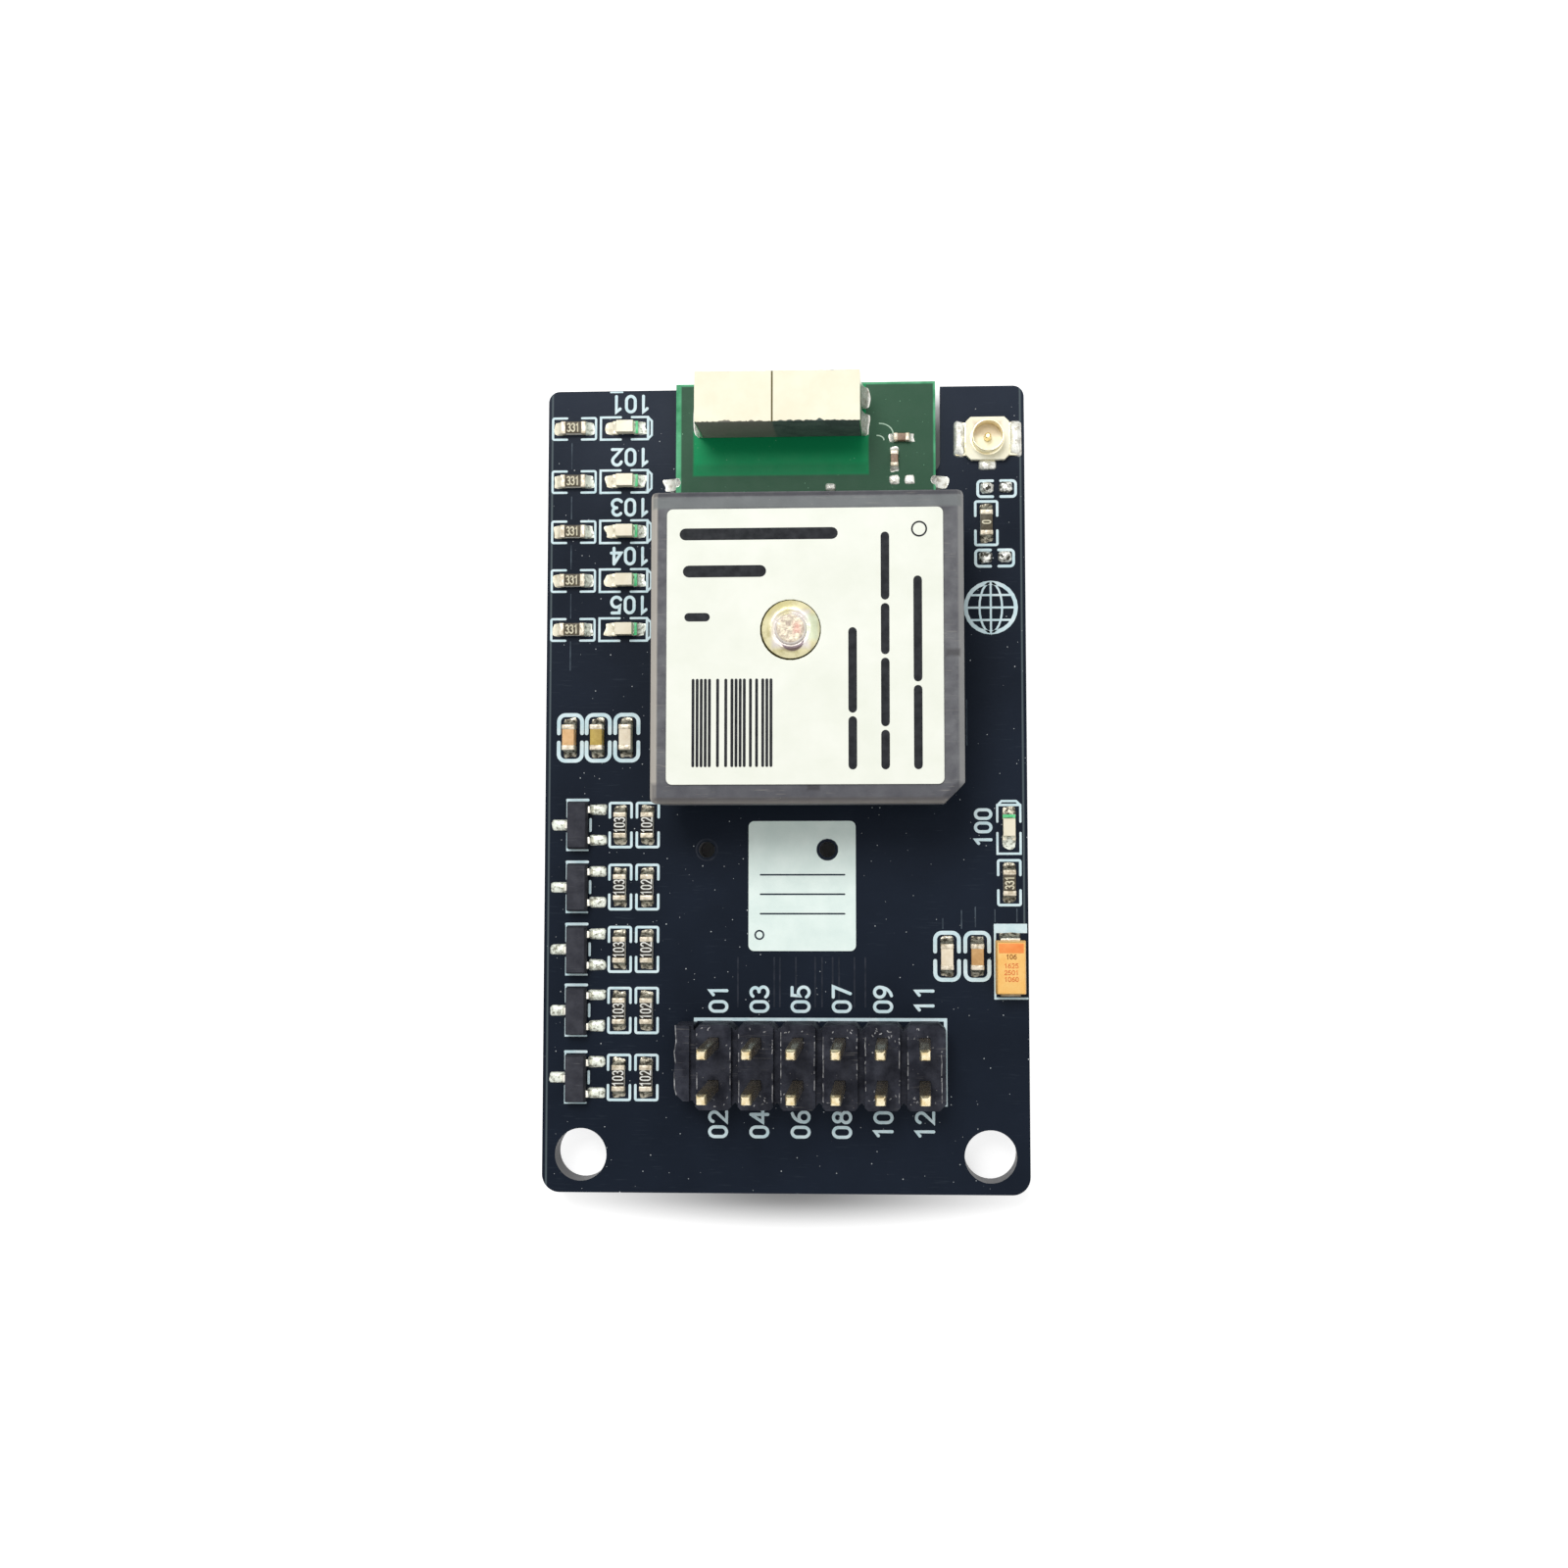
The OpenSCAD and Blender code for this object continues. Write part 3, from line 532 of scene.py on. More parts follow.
class Graph:
    """Short way to add and join the nodes of one tree."""

    def __init__(self, tree: Tree) -> None:
        """Keeps the tree that the nodes go into."""
        self.tree = tree

    @classmethod
    def of(cls, owner: bpy.types.Material | bpy.types.World) -> "Graph":
        """Empty tree of a material or of the world."""
        owner.use_nodes = True
        owner.node_tree.nodes.clear()
        return cls(owner.node_tree)

    def feed(self, socket: Socket, value: object) -> None:
        """Links another socket to an input, or sets the input to a plain value."""
        if isinstance(value, Socket):
            self.tree.links.new(value, socket)
        else:
            socket.default_value = value

    def add(self, kind: str, inputs: dict[str | int, object] | None = None, **settings: object) -> bpy.types.Node:
        """Adds a node.

        Args:
            kind: Blender's name of the node type.
            inputs: What goes into its sockets, by name or number.
            **settings: Its own properties.

        Returns:
            The node.
        """
        node = self.tree.nodes.new(kind)
        for key, value in settings.items():
            setattr(node, key, value)
        for key, value in (inputs or {}).items():
            self.feed(node.inputs[key], value)
        return node

    def place(self) -> Socket:
        """Object coordinates in millimetres."""
        metres = self.add("ShaderNodeTexCoord").outputs["Object"]
        return self.vector("MULTIPLY", metres, (1 / MM, 1 / MM, 1 / MM))

    def math(self, operation: str, first: object, second: object) -> Socket:
        """Result of one sum on two values."""
        return self.add("ShaderNodeMath", {0: first, 1: second}, operation=operation).outputs[0]

    def vector(self, operation: str, first: object, second: object) -> Socket:
        """Result of one sum on two vectors."""
        return self.add("ShaderNodeVectorMath", {0: first, 1: second}, operation=operation).outputs[0]

    def away(self, given: "Given") -> Socket:
        """Distance of Place from Centre along each axis."""
        offset = self.vector("SUBTRACT", given["Place"], given["Centre"])
        return self.add("ShaderNodeVectorMath", {0: offset}, operation="ABSOLUTE").outputs[0]

    def mix(self, share: object, first: object, second: object) -> Socket:
        """Colour between two others, by the share of the second."""
        return self.add("ShaderNodeMix", {0: share, 6: first, 7: second}, data_type="RGBA").outputs[2]

    def ranged(self, value: object, source: Span, target: Span = (0.0, 1.0), curve: str = "LINEAR") -> Socket:
        """Value carried from one range to another along a curve, held inside the second."""
        spans = dict(enumerate((value, *source, *target)))
        return self.add("ShaderNodeMapRange", spans, interpolation_type=curve).outputs[0]

    def group(self, tree: Tree, inputs: dict[str, object]) -> Socket:
        """First output of a node group with its own values."""
        return self.add("ShaderNodeGroup", inputs, node_tree=tree).outputs[0]


Given = dict[str, Socket]
Maker = Callable[[Graph, Given], Socket]


def effect(name: str, vectors: Sequence[str], numbers: Sequence[str] = ()) -> Callable[[Maker], Callable[[], Tree]]:
    """Turns a function that joins nodes into one that gives their shader node group, whose output is a mask.

    Args:
        name: Name of the group.
        vectors: Names of its vector inputs.
        numbers: Names of its inputs that are plain numbers.

    Returns:
        The decorator for the function.
    """
    kinds = dict.fromkeys(vectors, "NodeSocketVector") | dict.fromkeys(numbers, "NodeSocketFloat")

    def wrap(make: Maker) -> Callable[[], Tree]:
        """Keeps the function until the group is needed."""

        def built() -> Tree:
            """The group, made when it is first asked for."""
            tree = bpy.data.node_groups.get(name)
            if tree is None:
                tree = bpy.data.node_groups.new(name, "ShaderNodeTree")
                for key, kind in kinds.items():
                    tree.interface.new_socket(name=key, in_out="INPUT", socket_type=kind)
                tree.interface.new_socket(name="Mask", in_out="OUTPUT", socket_type="NodeSocketFloat")
                graph = Graph(tree)
                given = graph.add("NodeGroupInput").outputs
                graph.add("NodeGroupOutput", {"Mask": make(graph, {key: given[key] for key in kinds})})
            return tree

        return built

    return wrap


@effect("Clouds", ["Place"], ["Scale", "Low", "High"])
def clouds(graph: Graph, given: Given) -> Socket:
    """Soft mottling: noise whose values from Low to High are spread over 0 to 1."""
    wave = {"Vector": given["Place"], "Scale": given["Scale"], "Detail": 4.0, "Roughness": 0.6}
    noise = graph.add("ShaderNodeTexNoise", wave).outputs[0]
    return graph.ranged(noise, (given["Low"], given["High"]))


@effect("Specks", ["Place"], ["Scale", "Size", "Share"])
def specks(graph: Graph, given: Given) -> Socket:
    """Sparse dust: round spots in the few cells whose own random number is over 1 - Share."""
    cells = graph.add("ShaderNodeTexVoronoi", {"Vector": given["Place"], "Scale": given["Scale"]}).outputs
    pick = graph.add("ShaderNodeSeparateColor", {0: cells["Color"]}).outputs
    kept = graph.math("GREATER_THAN", pick[0], graph.math("SUBTRACT", 1.0, given["Share"]))
    size = graph.math("MULTIPLY", given["Size"], graph.ranged(pick[1], (0.0, 1.0), (0.4, 1.0)))
    spot = graph.ranged(cells["Distance"], (graph.math("MULTIPLY", size, 0.5), size), (1.0, 0.0))
    return graph.math("MULTIPLY", spot, kept)


@effect("Scuffs", ["Place"], ["Scale"])
def scuffs(graph: Graph, given: Given) -> Socket:
    """Fine scratches: noise drawn out along a slant, of which the thin crests are kept in some patches."""
    slant = {"Vector": given["Place"], "Rotation": (0.0, 0.3, 0.6), "Scale": (0.35, 6.0, 2.0)}
    drawn = graph.add("ShaderNodeMapping", slant).outputs[0]
    lines = graph.add("ShaderNodeTexNoise", {"Vector": drawn, "Scale": given["Scale"], "Detail": 2.0})
    patches = graph.add("ShaderNodeTexNoise", {"Vector": given["Place"], "Scale": 0.5, "Detail": 1.0})
    crest = graph.ranged(lines.outputs[0], (0.62, 0.7))
    return graph.math("MULTIPLY", crest, graph.ranged(patches.outputs[0], (0.45, 0.65)))


@effect("Window", ["Place", "Centre", "Half"], ["Soft"])
def window(graph: Graph, given: Given) -> Socket:
    """Box-shaped field: least of the axes' shares, each 1 inside Half of Centre and falling to 0 over Soft."""
    room = graph.vector("SUBTRACT", given["Half"], graph.away(given))
    x, y, z = graph.add("ShaderNodeSeparateXYZ", {0: room}).outputs
    near = graph.math("MINIMUM", x, graph.math("MINIMUM", y, z))
    return graph.ranged(near, (graph.math("MULTIPLY", given["Soft"], -1.0), 0.0))


@effect("Hump", ["Place", "Centre", "Reach"])
def hump(graph: Graph, given: Given) -> Socket:
    """Soft bump: on X and on Y a smooth step falls from 1 at Centre to 0 at Reach, and the two are multiplied."""
    share = graph.add("ShaderNodeSeparateXYZ", {0: graph.vector("DIVIDE", graph.away(given), given["Reach"])})
    steps = [graph.ranged(share.outputs[axis], (0.0, 1.0), (1.0, 0.0), "SMOOTHSTEP") for axis in (0, 1)]
    return graph.math("MULTIPLY", *steps)


@effect("Disc", ["Place", "Centre"], ["Radius", "Soft"])
def disc(graph: Graph, given: Given) -> Socket:
    """Round field: 1 within Radius of Centre on X and Y, falling to 0 over Soft."""
    offset = graph.vector("SUBTRACT", given["Place"], given["Centre"])
    flat = graph.vector("MULTIPLY", offset, (1.0, 1.0, 0.0))
    away = graph.add("ShaderNodeVectorMath", {0: flat}, operation="LENGTH").outputs["Value"]
    return graph.ranged(away, (given["Radius"], graph.math("ADD", given["Radius"], given["Soft"])), (1.0, 0.0))


# Finishes


def linear(colour: Colour) -> tuple[float, ...]:
    """Opaque scene colour of a screen colour given as 0 to 255."""
    share = np.asarray(colour) / 255
    light = np.where(share <= 0.04045, share / 12.92, ((share + 0.055) / 1.055) ** 2.4)
    return (*(float(x) for x in light), 1.0)


@dataclass(frozen=True)
class Zone:
    """Field of another colour on a finish, box-shaped and in the frame of the board."""

    centre: Point
    half: Point
    colour: Colour
    soft: float = 0.02
    strength: float = 1.0

    def share(self, graph: Graph, place: Socket) -> Socket:
        """How much of the colour shows at a place."""
        inputs = {"Place": place, "Centre": self.centre, "Half": self.half, "Soft": self.soft}
        return graph.math("MULTIPLY", graph.group(window(), inputs), self.strength)


@dataclass(frozen=True)
class Crescent:
    """Field of another colour: an upright cylinder's disc without what a second disc covers."""

    centre: Point
    radius: float
    bite: Point
    bite_radius: float
    colour: Colour
    soft: float = 0.06
    strength: float = 1.0

    def share(self, graph: Graph, place: Socket) -> Socket:
        """How much of the colour shows at a place."""
        discs = [
            graph.group(disc(), {"Place": place, "Centre": centre, "Radius": radius, "Soft": self.soft})
            for centre, radius in ((self.centre, self.radius), (self.bite, self.bite_radius))
        ]
        kept = graph.math("MULTIPLY", discs[0], graph.math("SUBTRACT", 1.0, discs[1]))
        return graph.math("MULTIPLY", kept, self.strength)


@dataclass(frozen=True)
class Finish:
    """Surface finish: two tones mixed in clouds, zones, dust and scuffs, with gloss and relief.

    Attributes:
        name: Name of the material.
        light: Lighter tone, 0 to 255.
        dark: Darker tone.
        cloud: Clouds for each millimetre.
        spread: Noise values between which the tones change.
        rough: Roughness in the light and in the dark tone.
        metal: Share of metal.
        shine: Specular level of a surface that isn't metal.
        relief: Height of the bumps, in millimetres.
        grain: Bumps for each millimetre.
        dust: Share of cells that hold a speck.
        dust_colour: Colour of the specks.
        dust_scale: Cells for each millimetre.
        dust_size: Radius of the largest speck, as a share of a cell.
        scuff: Strength of the scratches.
        scuff_colour: Colour of the scratches.
        coat: Weight of a clear coat.
        zones: Fields of other colours.
    """

    name: str
    light: Colour
    dark: Colour
    cloud: float = 1.0
    spread: Pair = (0.35, 0.65)
    rough: Pair = (0.45, 0.55)
    metal: float = 0.0
    shine: float = 0.3
    relief: float = 0.004
    grain: float = 8.0
    dust: float = 0.0
    dust_colour: Colour = (190, 195, 200)
    dust_scale: float = 1.2
    dust_size: float = 0.07
    scuff: float = 0.0
    scuff_colour: Colour = (150, 150, 150)
    coat: float = 0.0
    zones: tuple[Zone | Crescent, ...] = ()

    def material(self) -> bpy.types.Material:
        """Builds the material, or returns it if it was built before."""
        name = self.name + FINISH
        if name in bpy.data.materials:
            return bpy.data.materials[name]
        made = bpy.data.materials.new(name)
        graph = Graph.of(made)
        place = graph.place()
        low, high = self.spread
        shade = graph.group(clouds(), {"Place": place, "Scale": self.cloud, "Low": low, "High": high})
        bumps = graph.add("ShaderNodeTexNoise", {"Vector": place, "Scale": self.grain, "Detail": 3.0}).outputs[0]
        lumps = {"Strength": 1.0, "Distance": self.relief * MM, "Height": bumps}
        sockets = {
            "Base Color": self.colour(graph, place, shade),
            "Roughness": graph.ranged(shade, (0.0, 1.0), self.rough[::-1]),
            "Metallic": self.metal,
            "Specular IOR Level": self.shine,
            "Coat Weight": self.coat,
            "Normal": graph.add("ShaderNodeBump", lumps).outputs[0],
        }
        shader = graph.add("ShaderNodeBsdfPrincipled", sockets)
        graph.add("ShaderNodeOutputMaterial", {"Surface": shader.outputs[0]})
        return made

    def colour(self, graph: Graph, place: Socket, shade: Socket) -> Socket:
        """Base colour of the finish.

        Args:
            graph: Tree of the material.
            place: Place on the board, in millimetres.
            shade: Share of the lighter tone.

        Returns:
            The colour with its zones, dust and scuffs.
        """
        colour = graph.mix(shade, linear(self.dark), linear(self.light))
        for zone in self.zones:
            colour = graph.mix(zone.share(graph, place), colour, linear(zone.colour))
        if self.scuff:
            lines = graph.group(scuffs(), {"Place": place, "Scale": 2.0})
            colour = graph.mix(graph.math("MULTIPLY", lines, self.scuff), colour, linear(self.scuff_colour))
        if self.dust:
            cells = {"Place": place, "Scale": self.dust_scale, "Size": self.dust_size, "Share": self.dust}
            colour = graph.mix(graph.group(specks(), cells), colour, linear(self.dust_colour))
        return colour


INK = Finish("silk_ink", (224, 242, 246), (202, 228, 234), 1.5, rough=(0.6, 0.7), relief=0.006, grain=14)
PANEL = Finish("silk_panel", (240, 254, 248), (231, 247, 241), 0.7, rough=(0.6, 0.7), relief=0.006, grain=14)
LABEL_INK = Finish("label_ink", (40, 42, 46), (24, 26, 30), 2.0, rough=(0.5, 0.6), shine=0.15)
PANEL_RULE = Finish("panel_rule", (40, 50, 62), (28, 36, 48), 2.0, shine=0.15)
# Painted highlight: the raised tracks by the parts are drawn pale where their edges would catch the light.
TRACK_HIGHLIGHT = Finish("track_edge", (84, 96, 106), (50, 58, 68), 1.0, shine=0.06)
FAINT_TRACK = Finish("faint_track", (52, 56, 66), (34, 40, 50), 1.6, shine=0.06)
TRACK_RIDGE = Finish("track_ridge", (204, 222, 204), (150, 186, 160), 1.0, rough=(0.3, 0.4))
CHIP_MARK = Finish("chip_mark", (246, 246, 240), (206, 206, 198), 4.0, rough=(0.6, 0.7))
DIM_MARK = Finish("dim_mark", (232, 226, 200), (206, 198, 170), 4.0, rough=(0.6, 0.7))
SOLDER = Finish(
    "bright_solder", (246, 246, 238), (176, 172, 158), 2.6, (0.3, 0.52), (0.25, 0.42), 0.5, relief=0.04, grain=5.0
)
# Two-tone mottle, partly flux stain and partly painted reflections: dark patches and bright glints.
DULL_SOLDER = Finish(
    "mottled_solder", (186, 180, 162), (64, 60, 50), 4.2, (0.4, 0.6), (0.25, 0.45), 0.7, relief=0.05, grain=6.0
)
# White and dark mottle on the bare pads: painted highlights and painted dark reflections.
PAD_SOLDER = Finish(
    "pad_solder", (250, 250, 242), (64, 62, 54), 3.4, (0.42, 0.56), (0.2, 0.35), 0.6, relief=0.12, grain=3.0
)
CREAM_SOLDER = Finish(
    "cream_solder", (248, 241, 218), (206, 194, 162), 3.0, (0.26, 0.5), (0.35, 0.5), 0.2, relief=0.03, grain=5.0
)
PALE_SOLDER = Finish(
    "pale_solder", (242, 247, 234), (128, 126, 110), 4.6, (0.34, 0.52), (0.3, 0.45), 0.3, relief=0.04, grain=6.0
)
TINNED = Finish(
    "tinned_lead", (250, 247, 236), (206, 202, 186), 2.4, (0.3, 0.6), (0.28, 0.45), 1.0, relief=0.02, grain=6.0
)
CHIP_END = Finish(
    "tinned_chip_end", (232, 222, 202), (168, 156, 132), 3.4, (0.34, 0.6), (0.35, 0.5), 0.4, relief=0.02, grain=7.0
)
LAMP_END = Finish(
    "lamp_end", (248, 240, 216), (204, 194, 166), 3.6, (0.28, 0.5), (0.3, 0.45), 0.2, relief=0.03, grain=7.0
)
LAMP_FOOT = Finish(
    "lamp_foot", (232, 224, 198), (112, 102, 80), 4.0, (0.36, 0.56), (0.3, 0.45), 0.3, relief=0.03, grain=7.0
)
TIN_SHEET = Finish(
    "tinned_sheet", (200, 198, 192), (168, 166, 160), 0.5, rough=(0.3, 0.42), metal=1.0, relief=0.006
)
GOLD = Finish(
    "gold_plate", (250, 236, 190), (222, 194, 128), 2.0, (0.3, 0.6), (0.22, 0.36), 1.0, relief=0.006, grain=7.0
)
PALE_GOLD = Finish(
    "pale_gold", (255, 248, 222), (244, 230, 186), 1.6, (0.3, 0.6), (0.3, 0.42), 0.8, relief=0.01, grain=7.0
)
PIN_GOLD = Finish(
    "pin_gold", (252, 240, 206), (216, 190, 132), 2.6, (0.3, 0.6), (0.2, 0.34), 0.8, relief=0.012, grain=6.0,
    # Painted dark reflection: the pin shafts below the tips are drawn dark, as they mirror the black housing.
    zones=(Zone((2.2, -16.9, 8.2), (9.0, 4.0, 2.86), (122, 112, 94), 0.12, 0.9),),
)
# Painted shade: a dark crescent under the feed pin's boss, with a fainter one round it.
FEED_PAINTED_SHADES = (
    Crescent((1.0, 8.2, 0.0), 0.66, (0.91, 8.7, 0.0), 0.88, (70, 50, 66), 0.07, 0.92),
    Crescent((0.92, 8.22, 0.0), 0.72, (0.9, 8.66, 0.0), 0.94, (112, 92, 82), 0.12, 0.45),
)
FEED_GOLD = Finish(
    "feed_gold", (234, 226, 182), (190, 180, 130), 1.5, (0.3, 0.55), (0.3, 0.45), 0.35, relief=0.012, grain=3.0,
    zones=(
        Zone((0.9, 8.8, 9.9), (0.95, 0.95, 1.0), (224, 216, 215), 0.3, 0.85),
        # Painted highlight on the right of the feed pin's slope.
        Zone((2.2, 8.9, 9.9), (0.2, 0.6, 1.0), (214, 230, 204), 0.3, 0.6),
        Zone((0.1, 10.0, 9.9), (0.6, 0.3, 1.0), (196, 186, 120), 0.4, 0.6),
        *FEED_PAINTED_SHADES,
    ),
)
FEED_TOP = Finish(
    "feed_flat", (222, 212, 188), (176, 160, 146), 4.2, (0.36, 0.58), (0.35, 0.5), 0.25, relief=0.02, grain=6.0,
    zones=(Zone((1.28, 8.85, 9.9), (0.06, 0.16, 1.0), (212, 156, 142), 0.26, 0.75), *FEED_PAINTED_SHADES),
)
CERAMIC = Finish(
    "grey_ceramic", (110, 111, 114), (86, 86, 91), 0.9, (0.32, 0.66), (0.62, 0.75), relief=0.014, grain=12,
    dust=0.2, dust_colour=(176, 170, 160), dust_scale=3.2, dust_size=0.08, scuff=0.3, scuff_colour=(182, 176, 166),
    zones=(
        # Painted light: highlights on the left and right rims, a lighter band and a dark shaded line at the upper
        # rim, a highlight and a darker shaded band at the lower rim.
        Zone((-7.2, 7.8, 9.6), (0.16, 9.1, 0.6), (190, 184, 174), 0.12, 0.85),
        Zone((10.85, 7.8, 9.6), (0.12, 9.1, 0.6), (164, 164, 162), 0.12, 0.7),
        Zone((1.8, 16.35, 9.6), (9.0, 0.26, 0.6), (122, 127, 127), 0.15, 0.7),
        Zone((1.8, 16.85, 9.6), (9.0, 0.08, 0.6), (62, 62, 68), 0.1, 0.7),
        Zone((1.8, -1.2, 9.6), (9.0, 0.14, 0.6), (150, 144, 136), 0.12, 0.6),
        Zone((1.8, -0.7, 9.6), (9.0, 0.4, 0.6), (74, 74, 81), 0.25, 0.6),
        # Two small dark marks on the ceramic.
        Zone((10.35, 7.4, 9.6), (0.3, 0.1, 0.6), (62, 60, 62), 0.2, 0.7),
        Zone((2.2, -0.4, 9.6), (0.3, 0.12, 0.6), (54, 52, 56), 0.15, 0.7),
    ),
)
LABEL = Finish("white_label", (243, 245, 234), (237, 240, 227), 0.3, rough=(0.5, 0.6), relief=0.001, grain=5)
ANTENNA_PRINT = Finish(
    "antenna_print", (249, 245, 221), (247, 240, 214), 0.6, rough=(0.5, 0.62), relief=0.006, grain=10
)
ANTENNA_CERAMIC = Finish(
    "antenna_ceramic", (104, 120, 114), (84, 98, 94), 0.8, (0.4, 0.6), (0.6, 0.75), relief=0.02, grain=9,
    dust=0.25, dust_colour=(142, 132, 120), dust_scale=4.0,
    zones=(
        # Painted light: the left half of the block is drawn lighter than the right.
        Zone((-2.9, 23.2, 5.9), (2.4, 2.0, 2.5), (148, 144, 134), 0.15, 0.85),
        Zone((-0.4, 23.2, 7.9), (0.2, 2.0, 0.08), (96, 88, 52), 0.02),
    ),
)
RESIN = Finish(
    "black_resin", (64, 65, 72), (50, 51, 58), 1.3, rough=(0.55, 0.68), shine=0.1, relief=0.01, grain=14,
    dust=0.2, dust_colour=(120, 116, 118), dust_scale=3.0, scuff=0.15,
)
PLASTIC = Finish(
    "black_plastic", (63, 65, 75), (32, 34, 43), 0.9, (0.4, 0.72), (0.4, 0.55), shine=0.1, relief=0.012, grain=10,
    dust=0.6, dust_colour=(150, 146, 142), dust_scale=3.0, dust_size=0.1, scuff=0.4, scuff_colour=(116, 114, 112),
)
# Pale marks on the housing: worn nicks and a broken edge, and groove lines that are partly worn and partly painted
# highlights.
WEAR_AND_HIGHLIGHT = Finish("worn_plastic", (182, 182, 184), (72, 72, 76), 3.0, rough=(0.6, 0.7), shine=0.1)
GLAZE = Finish("black_glaze", (48, 43, 36), (32, 29, 24), 3.0, rough=(0.3, 0.4), shine=0.15, relief=0.004)
BROWN_GLAZE = replace(GLAZE, name="brown_glaze", light=(98, 90, 74), dark=(78, 71, 58))
ALUMINA = Finish("white_alumina", (240, 237, 228), (218, 214, 202), 2.0, rough=(0.6, 0.7))
LAMP_RESIN = Finish(
    "lamp_resin", (246, 238, 214), (238, 228, 200), 1.4, rough=(0.25, 0.35), relief=0.006, coat=0.2
)
LAMP_MARK = Finish("lamp_mark", (112, 222, 156), (62, 184, 112), 3.0, rough=(0.3, 0.4))
CAPACITOR = Finish("capacitor_peach", (232, 188, 136), (214, 168, 114), 2.0, rough=(0.4, 0.5), relief=0.006)
OLIVE_CAPACITOR = replace(CAPACITOR, name="capacitor_olive", light=(200, 174, 92), dark=(176, 148, 72))
CREAM_CAPACITOR = replace(CAPACITOR, name="capacitor_cream", light=(244, 232, 208), dark=(232, 216, 188))
TAN_CAPACITOR = replace(CAPACITOR, name="capacitor_tan", light=(212, 170, 114), dark=(192, 148, 94))
MATCH_BODY = replace(CAPACITOR, name="match_body", light=(160, 132, 110), dark=(120, 98, 82))
ORANGE = Finish("orange_resin", (254, 206, 124), (250, 192, 106), 1.0, rough=(0.42, 0.52), relief=0.008, grain=12)
STRIPE = Finish("orange_stripe", (252, 158, 82), (246, 140, 66), 1.4, rough=(0.42, 0.52))
ORANGE_MARK = Finish("orange_mark", (232, 132, 66), (212, 108, 52), 3.0, rough=(0.5, 0.6))
BROWN_MARK = Finish("brown_mark", (172, 112, 50), (140, 86, 38), 3.0, rough=(0.5, 0.6))
WHITE_PLASTIC = Finish(
    "white_plastic", (250, 247, 226), (244, 240, 214), 1.2, rough=(0.4, 0.5), relief=0.006,
    # Painted shade: the insulator is drawn brownish inside the upper half of the ring, shaded by the ring's wall.
    zones=(Zone((12.7, 22.15, 3.4), (0.7, 0.3, 0.1), (206, 182, 150), 0.3, 0.7),),
)
ADHESIVE = Finish("adhesive_pad", (226, 224, 216), (206, 204, 196), 1.5, rough=(0.75, 0.85))


# Pieces


def linked(name: str, data: bpy.types.ID) -> bpy.types.Object:
    """New object of the scene."""
    made = bpy.data.objects.new(name, data)
    bpy.context.scene.collection.objects.link(made)
    return made


def register(
    mesh: bpy.types.Mesh, finishes: Sequence[Finish], nodes: Sequence[str], crease: float = CREASE
) -> bpy.types.Object:
    """Dresses a mesh and links it as a piece that rides on the board.

    Args:
        mesh: The mesh, named as the piece is.
        finishes: The finishes that its faces number.
        nodes: CAD nodes that the piece stands for.
        crease: Angle in degrees from which an edge stays sharp.

    Returns:
        The piece.
    """
    for finish in finishes:
        mesh.materials.append(finish.material())
    mesh.shade_smooth()
    mesh.set_sharp_from_angle(angle=math.radians(crease))
    piece = linked(mesh.name, mesh)
    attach(piece, ROOT)
    if nodes:
        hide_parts(*nodes)
    LOG.info("%s: %d faces", piece.name, len(mesh.polygons))
    return piece


def add_piece(
    name: str, forms: Iterable[Form], finishes: Sequence[Finish], nodes: Sequence[str] = (),
    crease: float = CREASE,
) -> None:
    """Makes one piece of the object from forms.

    Args:
        name: Name of the piece.
        forms: Its surfaces, in millimetres.
        finishes: The finishes that the forms' coats number.
        nodes: CAD nodes that the piece stands for.
        crease: Angle in degrees from which an edge stays sharp.
    """
    form = Form.joined(forms)
    mesh = bpy.data.meshes.new(name)
    mesh.from_pydata((form.points * MM).tolist(), [], [*form.quads.tolist(), *form.tris.tolist()])
    mesh.polygons.foreach_set("material_index", form.coats.astype(np.int32))
    register(mesh, finishes, nodes, crease)


def stand_in(node: str, forms: Iterable[Form], finishes: Sequence[Finish], crease: float = CREASE) -> None:
    """Puts forms in the place of one CAD node."""
    add_piece(node + LOOK, forms, finishes, [node], crease)


Chooser = Callable[[Array, Box], Array]


def merged(node: str) -> bpy.types.Mesh:
    """Copy of a CAD node's mesh: corners that agree to a fraction of a micron are one, and flat faces are joined."""
    source = bpy.data.objects[node].data
    corners = np.empty(len(source.vertices) * 3, np.float32)
    source.vertices.foreach_get("co", corners)
    loops = np.empty(len(source.loops), np.int32)
    source.loops.foreach_get("vertex_index", loops)
    cells = np.round(corners.reshape(-1, 3) / (MERGE_MM * MM)).astype(np.int64)
    kept, number = np.unique(cells, axis=0, return_inverse=True)
    tris = number.ravel()[loops].reshape(-1, 3)
    whole = (tris != np.roll(tris, 1, axis=1)).all(axis=1)
    mesh = bpy.data.meshes.new(node + LOOK)
    mesh.from_pydata((kept * MERGE_MM * MM).tolist(), [], tris[whole].tolist())
    work = bmesh.new()
    work.from_mesh(mesh)
    bmesh.ops.dissolve_limit(work, angle_limit=math.radians(1), verts=work.verts, edges=work.edges)
    work.to_mesh(mesh)
    work.free()
    return mesh


